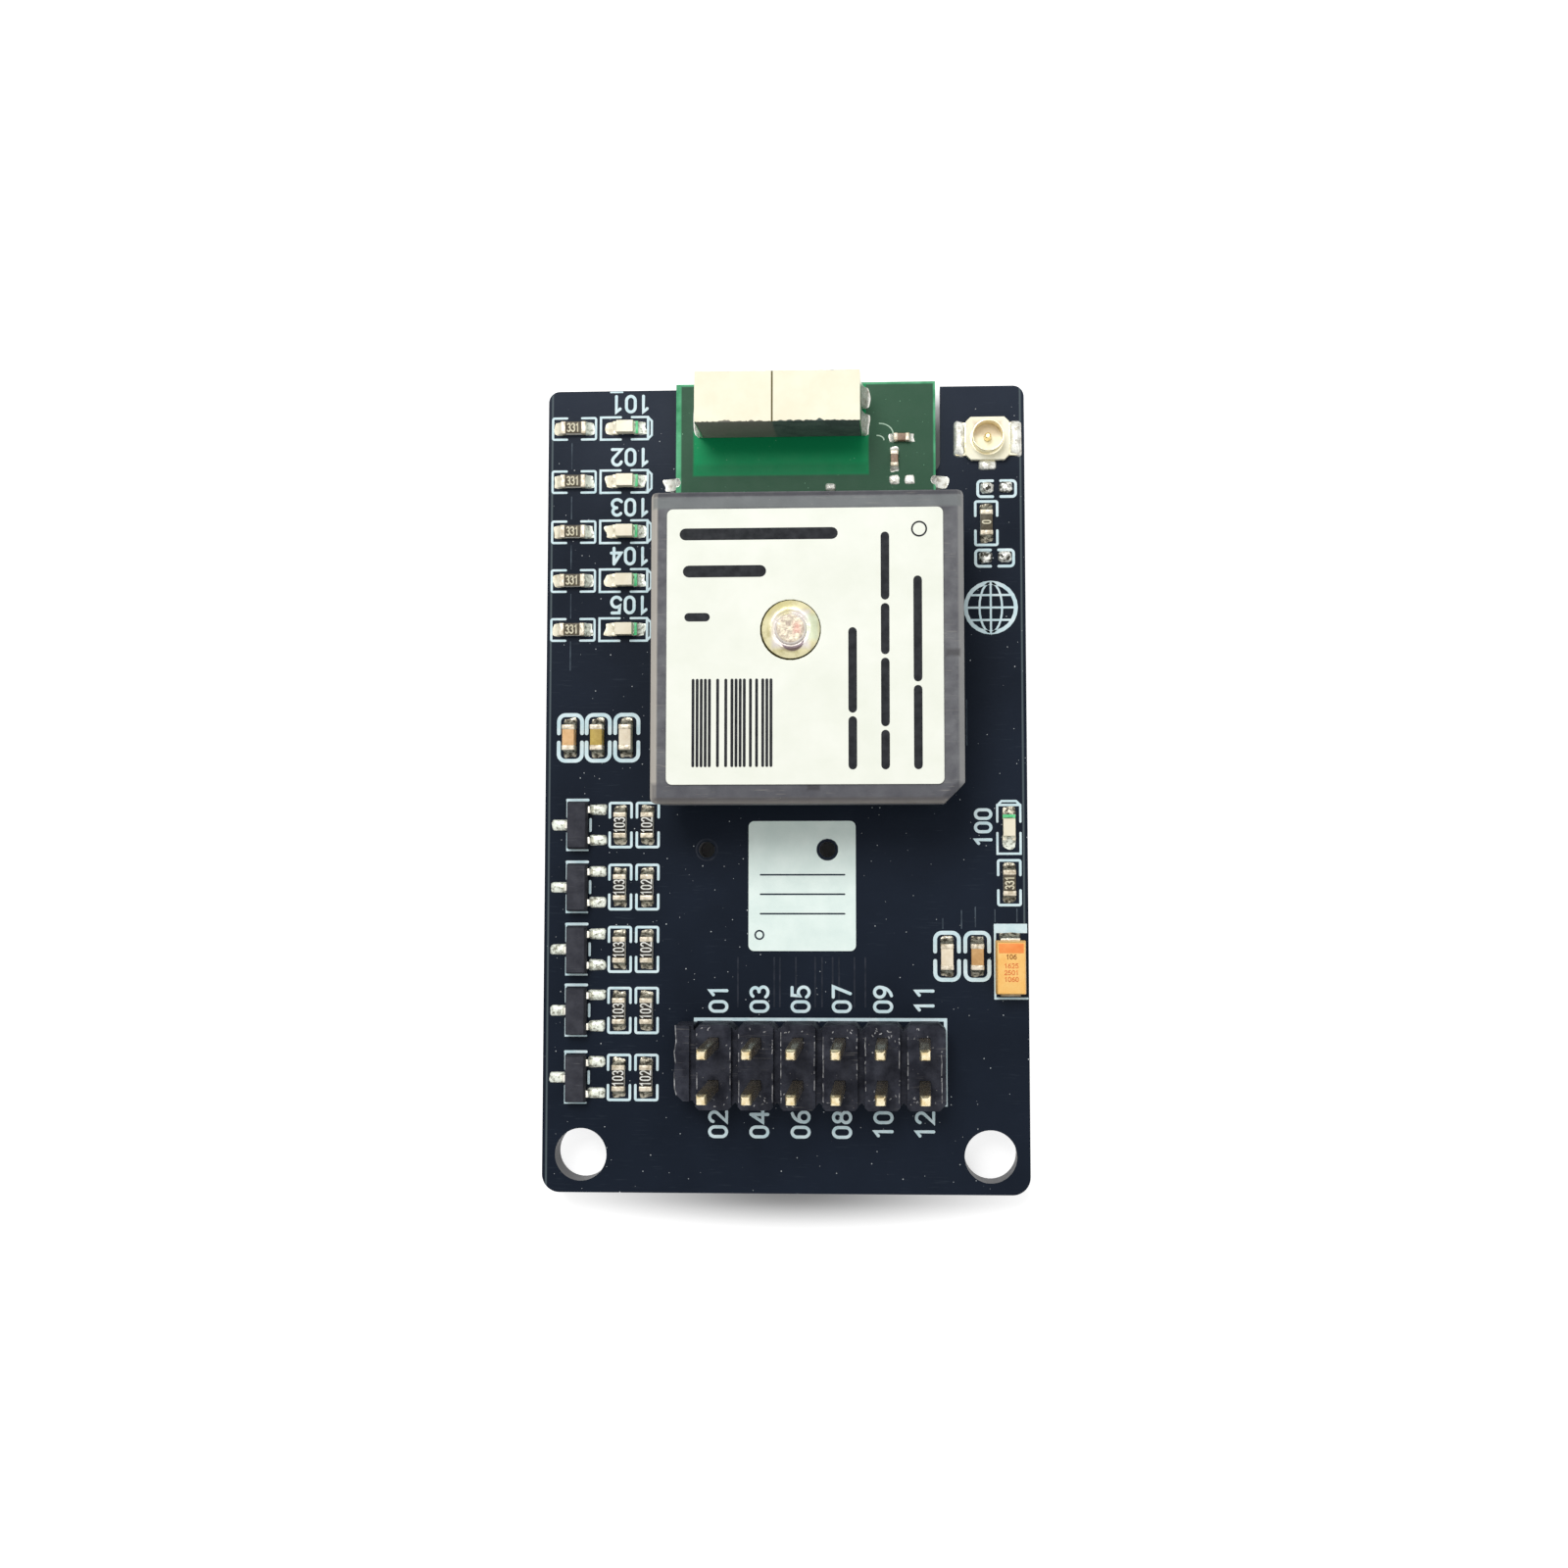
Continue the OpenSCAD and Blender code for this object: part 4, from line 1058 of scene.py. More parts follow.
def soften(node: str, finishes: Sequence[Finish], radius: float, choose: Chooser | None = None) -> None:
    """Puts a copy of a CAD node in its place with its sharp edges rounded.

    Args:
        node: The CAD node.
        finishes: The finishes that it wears.
        radius: How far an edge is rounded.
        choose: Numbers the finish of each face from the face middles, in millimetres, and the node's box.
    """
    mesh = merged(node)
    if choose:
        middles = np.empty(len(mesh.polygons) * 3, np.float32)
        mesh.polygons.foreach_get("center", middles)
        worn = choose(middles.reshape(-1, 3) / MM, Box.of(node))
        mesh.polygons.foreach_set("material_index", worn.astype(np.int32))
    rounding = register(mesh, finishes, [node]).modifiers.new("rounded_edges", "BEVEL")
    rounding.width = radius * MM
    rounding.segments = 2
    rounding.limit_method = "ANGLE"
    rounding.angle_limit = math.radians(CREASE)


def dress(node: str, finish: Finish) -> None:
    """Gives a CAD node a finish and leaves its shape as it is."""
    for worn in bpy.data.objects[node].material_slots:
        worn.material = finish.material()
    LOG.info("%s: dressed as %s", node, finish.name)


# The board and its print


@dataclass
class Carrier:
    """Black carrier board with its tracks under the mask."""

    edge: Colour = (128, 128, 130)
    # Colour of the painted sheen laid over the antenna end of the mask.
    sheen_colour: Colour = (52, 60, 74)
    fade: float = 9.0
    # Painted highlight along the edges of the copper under the mask.
    pour_edge_highlight: Colour = (96, 108, 112)
    pour_inset: float = 0.25
    pour_line: float = 0.03
    right_end: float = -9.0
    track_w: float = 0.07
    faint_w: float = 0.1
    track_h: float = 0.012
    runs: tuple[Point, ...] = (
        (9.75, -8.9, -8.3), (10.9, -8.9, -7.8), (11.75, -8.8, -7.6), (12.95, -8.5, -7.75), (14.3, -8.5, -7.7),
        (11.3, 2.4, 5.2), (-13.5, 20.0, 21.6), (-13.5, 16.8, 18.2), (-13.5, 13.6, 15.1), (-13.5, 10.5, 12.0),
        (-13.5, 7.2, 9.0),
    )
    streaks: tuple[float, ...] = (-2.9, -0.65, -0.3, 0.69, 1.88, 2.3, 2.96, 3.35, 4.3, 4.97)
    streak_ends: Pair = (-13.7, -10.7)
    bare_hole: Round = (-4.85 - 4.05j, 0.66)

    def finish(self, box: Box) -> Finish:
        """Mask with a painted sheen that lightens it towards the antenna end and painted highlights over the copper's
        edge, with bare laminate on the sides.
        """
        middle, half = box.centre, box.size / 2
        tall, skin = half[2] + PAST, 0.01
        wall = Zone(tuple(middle), (*(half[:2] + PAST), half[2] - skin), self.edge, soft=0.004, strength=0.9)
        # Painted sheen: the mask is drawn lighter towards the antenna end.
        head = Zone(
            (0.0, half[1] + PAST, middle[2]), (half[0] + PAST, 1.5, tall), self.sheen_colour, self.fade, strength=0.34
        )
        # Painted highlights along the copper pour's edges.
        lines = [
            Zone(
                (side * (half[0] - self.pour_inset), (half[1] + end) / 2, middle[2]),
                (self.pour_line, (half[1] - end) / 2, tall), self.pour_edge_highlight, soft=0.05, strength=0.7,
            )
            for side, end in ((-1, -half[1]), (1, self.right_end))
        ]
        return Finish(
            "black_mask", (27, 35, 48), (19, 26, 37), 0.12, (0.3, 0.7), (0.36, 0.48), shine=0.06, relief=0.006,
            grain=5, dust=0.75, dust_colour=(206, 212, 214), dust_scale=2.2, dust_size=0.1, scuff=0.12,
            scuff_colour=(80, 90, 100), zones=(head, *lines, wall),
        )

    def build(self) -> None:
        """Dresses the board and lays tracks on it: painted highlights by the parts, faint streaks and a hole's ring.
        """
        box = Box.of("carrier_board")
        dress("carrier_board", self.finish(box))
        pale = [upright(*run) for run in self.runs]
        faint = [*(upright(x, *self.streak_ends) for x in self.streaks), ring(*self.bare_hole)]
        ridges = inked(pale, self.track_w, box.high[2], self.track_h)
        ridges += inked(faint, self.faint_w, box.high[2], self.track_h, 1)
        add_piece("carrier_tracks", ridges, [TRACK_HIGHLIGHT, FAINT_TRACK])


@dataclass
class CarrierPrint:
    """White print on the carrier board: frames round the parts, numbers, a panel and a globe.

    A frame is given by its length, width and corner radius, a number by its height and where its middle goes.
    """

    line: float = 0.16
    fine: float = 0.14
    thin: float = 0.11
    thread: float = 0.13
    strong: float = 0.17
    bold: float = 0.24
    bar: float = 0.15
    pen: float = 0.19
    ink_t: float = 0.02
    chip_frame: Point = (2.74, 1.36, 0.1)
    chip_gap: float = 0.95
    round_frame: Point = (2.87, 1.46, 0.42)
    round_gap: float = 0.58
    pad_frames: tuple[tuple[complex, Point], ...] = (
        (13.26 + 18.42j, (2.36, 1.0, 0.22)), (13.1 + 14.05j, (2.36, 1.02, 0.22)),
    )
    pad_gap: float = 0.5
    lamp_frame: Point = (3.24, 1.42, 0.26)
    lamp_gap: float = 0.35
    cathode: float = 0.24
    tantalum_ends: Pair = (12.87, 14.91)
    tantalum_bar: Pair = (-8.9, 0.57)
    tantalum_gap: float = 0.32
    lamp_number: tuple[float, complex] = (1.0, 0.28 + 1.55j)
    power_number: tuple[float, complex] = (0.95, -1.58 + 0j)
    pin_number: Point = (1.05, 2.07, -2.38)
    globe: complex = 12.84 + 10.95j
    globe_r: float = 1.56
    header_frame: Rect = (-5.52, -19.63, 9.88, -14.48)
    header_line: float = 0.2
    edge_bar: Point = (24.87, -11.05, -10.3)
    edge_line: float = 0.1
    panel: Rect = (-2.25, -10.29, 4.4, -2.28)
    panel_hole: Round = (2.65 - 4.05j, 0.68)
    panel_ring: Round = (-1.57 - 9.3j, 0.26)
    rules: tuple[float, ...] = (-5.6, -6.8, -8.0)
    rule_ends: Pair = (-1.5, 3.7)
    rule_w: float = 0.1
    pens: dict[float, list[Array]] = field(default_factory=dict)

    def draw(self, width: float, middle: complex, *paths: Array) -> None:
        """Adds pen paths about one place to the print."""
        self.pens.setdefault(width, []).extend(path + middle for path in paths)

    def brackets(self, middle: complex, turn: Turn, size: Point, gap: float, width: float) -> None:
        """Frame round a chip part, open in the middle of both long sides.

        Args:
            middle: Middle of the part.
            turn: Which way the part lies.
            size: Length, width and corner radius of the frame.
            gap: How far it is open.
            width: Width of the line.
        """
        half_l, half_w, radius = size[0] / 2, size[1] / 2, size[2]
        low = Arc(half_l - radius, radius - half_w, radius, radius, -90, 0)
        high = Arc(half_l - radius, half_w - radius, radius, radius, 0, 90)
        end = path_of([(gap / 2, -half_w), low, high, (gap / 2, half_w)])
        self.draw(width, middle, end * turn.value, end * -turn.value)

    def lamp(self, node: str, turn: Turn) -> None:
        """Frame round a lamp: a plain end, and a cut-cornered end with a second line at its cathode."""
        half_l, half_w, cut = self.lamp_frame[0] / 2, self.lamp_frame[1] / 2, self.lamp_frame[2]
        gap, middle = self.lamp_gap, Box.of(node).middle
        plain = path_of([(-gap, half_w), (-half_l, half_w), (-half_l, -half_w), (-gap, -half_w)])
        marked = path_of([
            (gap, -half_w), (half_l - cut, -half_w), (half_l, cut - half_w), (half_l, half_w - cut),
            (half_l - cut, half_w), (gap, half_w),
        ])
        second = upright(half_l - self.cathode, -half_w, half_w)
        self.draw(self.fine, middle, plain * turn.value, marked * turn.value)
        self.draw(self.bar, middle, second * turn.value)

    def transistor(self, middle: complex) -> None:
        """Corner lines left of a transistor, open at its lead, and a bar between its right leads."""
        left, right, high, lead, bar = -0.75, 0.55, 1.56, 0.5, (0.71, -0.36, 0.36)
        self.draw(self.strong, middle, level(high, right, left))
        corner = path_of([(right, -high), (left, -high), (left, -lead)])
        self.draw(self.thin, middle, corner, upright(left, high, lead))
        self.draw(self.bar, middle, upright(*bar))

    def frames(self) -> None:
        """Frames of all the parts on the carrier."""
        for node in LAMPS:
            self.lamp(node, Turn.NONE)
        self.lamp("power_led", Turn.LEFT)
        square = BASE_RESISTORS + PULLUP_RESISTORS + LONE_RESISTORS
        kinds = (
            (LAMP_RESISTORS, self.chip_frame, self.chip_gap, self.fine),
            (square, self.chip_frame, self.chip_gap, self.line),
            (CAPACITORS, self.round_frame, self.round_gap, self.bold),
        )
        for nodes, size, gap, width in kinds:
            for box in map(Box.of, nodes):
                self.brackets(box.middle, box.turn, size, gap, width)
        for node in TRANSISTORS:
            self.transistor(Box.of(node).middle)
        for middle, size in self.pad_frames:
            self.brackets(middle, Turn.NONE, size, self.pad_gap, self.strong)

    def tantalum(self, top: float) -> Form:
        """Thin lines along three sides of the tantalum capacitor and a broad bar at its marked end."""
        (left, right), (bar_y, bar_w) = self.tantalum_ends, self.tantalum_bar
        low, inset = Box.of("tantalum_capacitor").low[1] - self.tantalum_gap, 0.07
        self.draw(self.thread, 0, path_of([(left + inset, bar_y), (left + inset, low), (right, low)]))
        bar = block((right - left, bar_w, self.ink_t * 1.3), corner=0.02, edge=0.005)
        return bar.placed(((left + right) / 2, bar_y, top))

    def number(self, text: str, height: float, middle: complex, turn: Turn) -> None:
        """Prints a number."""
        self.draw(self.pen, 0, *numerals(text, height, middle, turn))

    def numbers(self) -> None:
        """Lamp numbers, which read from the antenna end, and pin numbers, which read from the right."""
        height, shift = self.lamp_number
        for i, node in enumerate(LAMPS, start=1):
            self.number(f"10{i}", height, Box.of(node).middle + shift, Turn.HALF)
        height, shift = self.power_number
        self.number("100", height, Box.of("power_led").middle + shift, Turn.LEFT)
        height, over, under = self.pin_number
        header, pins = PinHeader(), Box.of("header_pins")
        for i, x in enumerate(header.column_places(pins, header.side / 2)):
            self.number(f"{2 * i + 1:02d}", height, complex(x, pins.high[1] + over), Turn.LEFT)
            self.number(f"{2 * i + 2:02d}", height, complex(x, pins.low[1] + under), Turn.LEFT)

    def globe_lines(self) -> None:
        """Plain globe: a ring with two meridians and three parallels."""
        r = self.globe_r
        self.draw(self.bold, self.globe, ring(0, r))
        lines = [Arc(0, 0, r * 0.45, r, 0, 360).path(), upright(0, -r, r)]
        for share in (-0.5, 0.0, 0.5):
            reach = r * math.sqrt(1 - share**2)
            lines.append(level(share * r, -reach, reach))
        self.draw(self.thread, self.globe, *lines)

    def panel_form(self, top: float) -> Form:
        """White panel with a round opening over the drilled hole.

        Each corner of the panel's rounded outline is joined to the point of the opening that lies on the
        same ray from the middle of the hole.
        """
        x0, y0, x1, y1 = self.panel
        hole, radius = self.panel_hole
        outer = fine_outline(x1 - x0, y1 - y0, complex(x0 + x1, y0 + y1) / 2)
        inner = hole + radius * np.exp(1j * np.angle(outer - hole))
        high = top + self.ink_t
        return loft(lifted(np.stack([inner, outer, outer, inner], axis=-1), [high, high, top, top]), looped=True)

    def build(self) -> None:
        """Draws everything and makes the print one piece and the panel another."""
        top = carrier_top()
        self.frames()
        bar = self.tantalum(top)
        self.numbers()
        self.globe_lines()
        x0, y0, x1, y1 = self.header_frame
        corners = path_of([(x1 - 0.4, y0), (x1, y0), (x1, y1), (x0, y1), (x0, y1 - 0.5)])
        self.draw(self.header_line, 0, corners)
        self.draw(self.edge_line, 0, level(*self.edge_bar))
        forms = [form for width, paths in self.pens.items() for form in inked(paths, width, top, self.ink_t)]
        add_piece("carrier_print", [*forms, bar], [INK])
        rules = [*(level(y, *self.rule_ends) for y in self.rules), ring(*self.panel_ring)]
        marks = inked(rules, self.rule_w, top + self.ink_t / 2, self.ink_t, 1)
        add_piece("carrier_panel", [self.panel_form(top), *marks], [PANEL, PANEL_RULE])


# Chip parts


@dataclass
class ChipPart:
    """Small part with metal ends that lies on its box along the longer side."""

    node: str
    slot: str
    end_l: float = 0.32
    end_edge: float = 0.06
    foot_edge: float = 0.03
    slack: float = 0.05

    def __post_init__(self) -> None:
        """Reads the part's box and its size along, across and up."""
        self.box = Box.of(self.node)
        self.length, self.width = sorted(self.box.size[:2], reverse=True)
        self.height = self.box.size[2]

    def ends(self, coat: int) -> list[Form]:
        """Two end caps with rounded edges."""
        size = (self.end_l, self.width, self.height)
        cap = block(size, self.end_edge, self.end_edge, self.foot_edge).coated(coat)
        reach = (self.length - self.end_l) / 2
        return [cap.placed((side * reach, 0, 0)) for side in (-1, 1)]

    def add(self, forms: Iterable[Form], finishes: Sequence[Finish]) -> None:
        """Puts the part, drawn along X on the origin, where its node is."""
        placed = [form.placed(self.box.foot, self.box.turn) for form in forms]
        stand_in(self.node, placed, finishes)


@dataclass
class Resistor(ChipPart):
    """Chip resistor: white substrate, black glaze with a printed value, tinned ends."""

    value: str = "103"
    mark: Finish = CHIP_MARK
    glaze: Finish = GLAZE
    tuck: Pair = (0.06, 0.04)
    glaze_t: float = 0.03
    glaze_lap: float = 0.04
    glaze_drop: float = 0.045
    digit: float = 0.9
    squeeze: float = 0.62
    pen: float = 0.08
    mark_t: float = 0.008

    def build(self) -> None:
        """Builds the substrate, the glaze, the ends and the value."""
        width, inner = self.width - self.slack, self.length - 2 * self.end_l
        short, low = self.tuck
        body = block((self.length - short, width, self.height - low), corner=0.02, edge=0.01)
        glaze = block((inner + self.glaze_lap, width, self.glaze_t), corner=0.05, edge=0.012)
        top = self.height - self.glaze_drop
        digit = (self.width - 2 * self.slack) * self.digit
        pens = numerals(self.value, digit, 0j, Turn.NONE, self.squeeze)
        marks = inked(pens, self.pen, top + self.glaze_t - SUNK, self.mark_t, 3)
        forms = [body, glaze.coated(1).placed((0, 0, top)), *self.ends(2), *marks]
        self.add(forms, [ALUMINA, self.glaze, CHIP_END, self.mark])


@dataclass
class Capacitor(ChipPart):
    """Chip capacitor: fired ceramic body between tinned ends."""

    body: Finish = CAPACITOR
    tuck: float = 0.08
    lift: float = 0.02

    def build(self) -> None:
        """Builds the body and the ends."""
        size = (self.length - self.tuck, self.width - self.slack, self.height - self.slack)
        body = block(size, self.slack, self.slack, self.lift).placed((0, 0, self.lift))
        self.add([body, *self.ends(1)], [self.body, CHIP_END])


@dataclass
class Lamp(ChipPart):
    """Chip lamp: white base with notched tinned ends, a resin lens and a green strip at its cathode."""

    base_h: float = 0.28
    lens_l: float = 1.16
    end_l: float = 0.34
    edge: float = 0.012
    strip: Pair = (0.24, 0.05)
    strip_gap: float = 0.09

    def choose(self, middles: Array, box: Box) -> Array:
        """Numbers the faces: 0 on the white base, 1 and 3 on the two metal ends, 2 on the lens."""
        axis = int(np.argmax(box.size[:2]))
        along = middles[:, axis] - box.centre[axis]
        on_end = np.abs(along) > self.length / 2 - self.end_l + 0.01
        on_lens = middles[:, 2] > box.low[2] + self.base_h + 0.04
        return np.select([on_lens, on_end & (along > 0), on_end], [2, 3, 1], 0)

    def build(self) -> None:
        """Rounds the lamp's edges and dresses its parts."""
        soften(self.node, [ALUMINA, LAMP_END, LAMP_RESIN, LAMP_FOOT], self.edge, self.choose)

    def mark(self) -> Form:
        """Low green strip beside the lens at the cathode."""
        strip = block((self.strip[0], self.width - 0.02, self.strip[1]), corner=0.02, edge=0.01)
        place = (self.lens_l / 2 + self.strip_gap, 0, self.base_h - 0.03)
        return strip.placed(place).placed(self.box.foot, self.box.turn)


@dataclass
class ChipParts:
    """All the chip parts of the carrier and the module."""

    bodies: tuple[Finish, ...] = (CAPACITOR, OLIVE_CAPACITOR, CREAM_CAPACITOR, CREAM_CAPACITOR, TAN_CAPACITOR)
    dim_values: tuple[str, ...] = ("331",) * 6 + ("0",)
    bright_values: tuple[str, ...] = ("103",) * 5 + ("102",) * 5
    dim_digit: float = 0.72
    match_end: float = 0.27

    def parts(self) -> list[ChipPart]:
        """The chip parts apart from the lamps, in the order in which they are built."""
        look = {"mark": DIM_MARK, "glaze": BROWN_GLAZE, "digit": self.dim_digit}
        dim = zip(LAMP_RESISTORS + LONE_RESISTORS, self.dim_values)
        bright = zip(BASE_RESISTORS + PULLUP_RESISTORS, self.bright_values)
        return [
            *(Resistor(node, "chip_body", value=value, **look) for node, value in dim),
            *(Resistor(node, "chip_body", value=value) for node, value in bright),
            *(Capacitor(node, "capacitor_body", body=body) for node, body in zip(CAPACITORS, self.bodies)),
            *(Capacitor(node, "chip_body", end_l=self.match_end, body=MATCH_BODY) for node in MATCHING),
        ]

    def build(self) -> None:
        """Builds every part, and the marks of the lamps as one piece."""
        lamps = [Lamp(node, "lamp_resin") for node in [*LAMPS, "power_led"]]
        for part in [*lamps, *self.parts()]:
            part.build()
        add_piece("lamp_marks", [lamp.mark() for lamp in lamps], [LAMP_MARK])


@dataclass
class Transistors:
    """Five moulded transistors and their bent leads."""

    band: float = 0.39
    draft: float = 0.08
    edge: float = 0.05
    lead_w: float = 0.42
    lead_t: float = 0.12
    lead_z: float = 0.45
    bend: Pair = (0.06, 0.3)
    reach: float = 0.55
    span: float = 1.9
    body_w: float = 1.3

    def lead(self) -> Form:
        """Lead that leaves the wall at x = 0 and steps down to the board.

        The middle line drops from the lead height by a smooth step, 3u² - 2u³, and the section turns with it.
        """
        start, end = self.bend
        x = np.concatenate([[-0.1], np.linspace(start, end, 9), [self.reach]])
        u = np.clip((x - start) / (end - start), 0, 1)
        z = self.lead_t / 2 + self.lead_z * (1 - u * u * (3 - 2 * u))
        slope = np.gradient(z, x)
        length = np.hypot(1, slope)
        across = rounded_outline(self.lead_w, self.lead_t, 0.03, 2)
        px = x[:, None] - across.imag * (slope / length)[:, None]
        pz = z[:, None] + across.imag / length[:, None]
        return loft(lifted(px + 1j * across.real, pz))

    def places(self, box: Box) -> list[tuple[Array, Turn]]:
        """Where each lead of one transistor leaves the body, on the board's level."""
        base = np.array([*box.centre[:2], carrier_top()])
        half = self.body_w / 2
        right = [(base + [half, side * self.span / 2, 0], Turn.NONE) for side in (-1, 1)]
        return [*right, (base - [half, 0, 0], Turn.HALF)]

    def build(self) -> None:
        """Builds the bodies and the leads."""
        leads = []
        for node in TRANSISTORS:
            box = Box.of(node)
            body = moulded(box.size, self.band, self.draft, self.edge).placed(box.foot)
            stand_in(node, [body], [RESIN])
            leads += [self.lead().placed(place, turn) for place, turn in self.places(box)]
        stand_in("transistor_leads", leads, [TINNED])


@dataclass
class Tantalum:
    """Orange moulded capacitor with a stripe at its marked end and two folded leads."""

    band: float = 0.7
    draft: float = 0.08
    edge: float = 0.08
    stripe: float = 0.58
    stripe_inset: float = 0.14
    stripe_short: float = 0.34
    rows: tuple[tuple[str, float], ...] = (("1625", 0.15), ("2501", -0.26), ("1060", -0.66))
    value: tuple[str, float] = ("106", 0.69)
    digit: float = 0.26
    pens: Pair = (0.05, 0.06)
    mark_t: float = 0.01
    lead_shade: Colour = (104, 82, 44)
    lead_edge: float = 0.02

    def marks(self, z: float) -> list[Form]:
        """Rows of numbers, and the value in a broader line."""
        text, y = self.value
        rows = [path for digits, row in self.rows for path in numerals(digits, self.digit, 1j * row, Turn.NONE)]
        value = numerals(text, self.digit, 1j * y, Turn.NONE)
        return inked(rows, self.pens[0], z, self.mark_t, 2) + inked(value, self.pens[1], z, self.mark_t, 3)

    def build(self) -> None:
        """Builds the body with its stripe and numbers, and softens the leads."""
        box = Box.of("tantalum_capacitor")
        width, length, height = box.size
        z = height - 2 * SUNK
        body = moulded(box.size, self.band, self.draft, self.edge)
        stripe = block((width - self.stripe_short, self.stripe, 0.012), corner=0.03, edge=0.006)
        stripe = stripe.coated(1).placed((0, (length - self.stripe) / 2 - self.stripe_inset, z))
        forms = [form.placed(box.foot) for form in (body, stripe, *self.marks(z))]
        stand_in("tantalum_capacitor", forms, [ORANGE, STRIPE, ORANGE_MARK, BROWN_MARK])
        leads = Box.of("tantalum_leads")
        # Painted shade: the lower end of the leads is drawn dark brown, as it lies in shade.
        end = (leads.centre[0], *leads.low[1:])
        painted_shade_end = Zone(end, (1.0, 0.3, 2.0), self.lead_shade, soft=0.1, strength=0.85)
        lead = replace(TINNED, name="tantalum_lead", zones=(painted_shade_end,))
        soften("tantalum_leads", [lead], self.lead_edge)


# Solder


class Joint(IntEnum):
    """Looks of solder, as places in the list of its finishes."""

    BRIGHT = 0
    DULL = 1
    CREAM = 2
    PALE = 3
    PAD = 4


@dataclass
class SolderJoints:
    """Solder of the chip parts, the module's notches, the chip antenna and the header's pin tails."""

    seed: int = 7
    finishes: tuple[Finish, ...] = (SOLDER, DULL_SOLDER, CREAM_SOLDER, PALE_SOLDER, PAD_SOLDER)
    lap: float = 1.05
    lamp_notch: float = 0.22
    match_w: float = 0.55
    tantalum_runs: Pair = (0.42, 0.1)
    tantalum_end: Pair = (0.45, 1.3)
    pads: tuple[complex, ...] = (12.65 + 18.49j, 13.84 + 18.52j, 12.52 + 14.09j, 13.74 + 14.12j)
    pad: Point = (0.88, 0.76, 0.3)
    toe: Point = (1.16, 0.7, 0.2)
    toe_back: float = 0.02
    socket_tab: Point = (0.8, 2.36, 0.38)
    tab_reach: float = 1.74
    socket_tail: Point = (1.14, 0.64, 0.26)
    tail_reach: float = 1.62
    module_pads: tuple[complex, ...] = (6.9 + 18.87j, 7.83 + 18.87j)
    module_pad: Point = (0.66, 0.62, 0.1)
    ball_at: complex = 2.92 + 18.41j
    ball: Point = (0.66, 0.56, 0.34)
    plate_end: Pair = (0.56, 3.4)
    plate_foot: Point = (0.5, 1.6, 1.4)
    plate_foot_y: float = 0.85
    notch: float = 0.26
    notch_run: Pair = (0.84, 1.0)
    notch_rise: float = 0.88
    notch_w: float = 0.86
    cone: Point = (0.85, 0.468, 0.8)

    def __post_init__(self) -> None:
        """Starts the small differences between joints from a fixed seed."""
        self.draw = np.random.default_rng(self.seed)

    def chip_ends(
        self, nodes: Iterable[str], run: float, rise: float, coats: tuple[Joint, Joint], inset: float = 0.0,
        width: float | None = None,
    ) -> list[Form]:
        """Fillets at both ends of each named chip part, along its longer side.

        Args:
            nodes: The parts.
            run: How far a fillet runs out on the board.
            rise: Share of the part's height that it climbs.
            coats: Looks of the solder at the end on the plus side and at the other one.
            inset: How far inside the end a fillet starts, to fill a notch there.
            width: Extent across the part, or none for a little more than the part's own.

        Returns:
            Two forms for each part.
        """
        forms = []
        for box in map(Box.of, nodes):
            half, across = max(box.size[:2]) / 2 - inset, width or min(box.size[:2]) * self.lap
            ends = (Turn.NONE, Turn.HALF) if box.turn is Turn.NONE else (Turn.LEFT, Turn.RIGHT)
            for end, coat in zip(ends, coats):
                place = box.foot + half * np.array([end.value.real, end.value.imag, 0])
                joint = fillet(run + inset, box.size[2] * rise, across, self.draw)
                forms.append(joint.coated(coat).placed(place, end))
        return forms

    def mounds(self, places: Iterable[complex], size: Point, z: float, coat: Joint = Joint.BRIGHT) -> list[Form]:
        """Rough cushions of one size at several places."""
        return [mound(*size, self.draw).coated(coat).placed((at.real, at.imag, z)) for at in places]

    def carrier(self) -> list[Form]:
        """Solder on the carrier: chip ends, the tantalum capacitor, transistor leads, bare pads and the socket.

        A row of chip ends gives the parts, the run, the rise, the two looks and the inset.
        """
        pale, dull, notch = (Joint.PALE, Joint.CREAM), (Joint.DULL, Joint.DULL), self.lamp_notch
        rows = (
            (LAMPS, 0.55, 0.5, pale, notch),
            (["power_led"], 0.55, 0.5, (Joint.DULL, Joint.PALE), notch),
            (LAMP_RESISTORS, 0.5, 0.95, pale),
            (BASE_RESISTORS + PULLUP_RESISTORS + LONE_RESISTORS, 0.44, 0.75, dull),
            (CAPACITORS, 0.46, 0.55, dull),
        )
        forms = [form for row in rows for form in self.chip_ends(*row)]
        tantalum = Box.of("tantalum_leads")
        for end, run in zip((Turn.LEFT, Turn.RIGHT), self.tantalum_runs):
            place = tantalum.foot + [0, end.value.imag * tantalum.size[1] / 2, 0]
            forms.append(fillet(run, *self.tantalum_end, self.draw).coated(Joint.DULL).placed(place, end))
        top, leads = carrier_top(), Transistors()
        for box in map(Box.of, TRANSISTORS):
            reach = leads.reach - self.toe_back
            toes = [complex(*at[:2]) + reach * turn.value for at, turn in leads.places(box)]
            forms += self.mounds(toes, self.toe, top, Joint.PALE)
        forms += self.mounds(self.pads, self.pad, top, Joint.PAD)
        coax = Box.of("coax_shell").middle
        forms += self.mounds([coax - self.tab_reach, coax + self.tab_reach], self.socket_tab, top)
        return forms + self.mounds([coax - 1j * self.tail_reach], self.socket_tail, top)

    def notches(self) -> list[Form]:
        """Solder that fills the module's side notches and runs out on the carrier."""
        forms, low = [], Box.of("module_board").low[2]
        for x, y, turn in ReceiverModule().notch_places(self.notch):
            run = self.draw.uniform(*self.notch_run) + self.notch
            forms.append(fillet(run, self.notch_rise, self.notch_w, self.draw).placed((x, y, low), turn))
        return forms

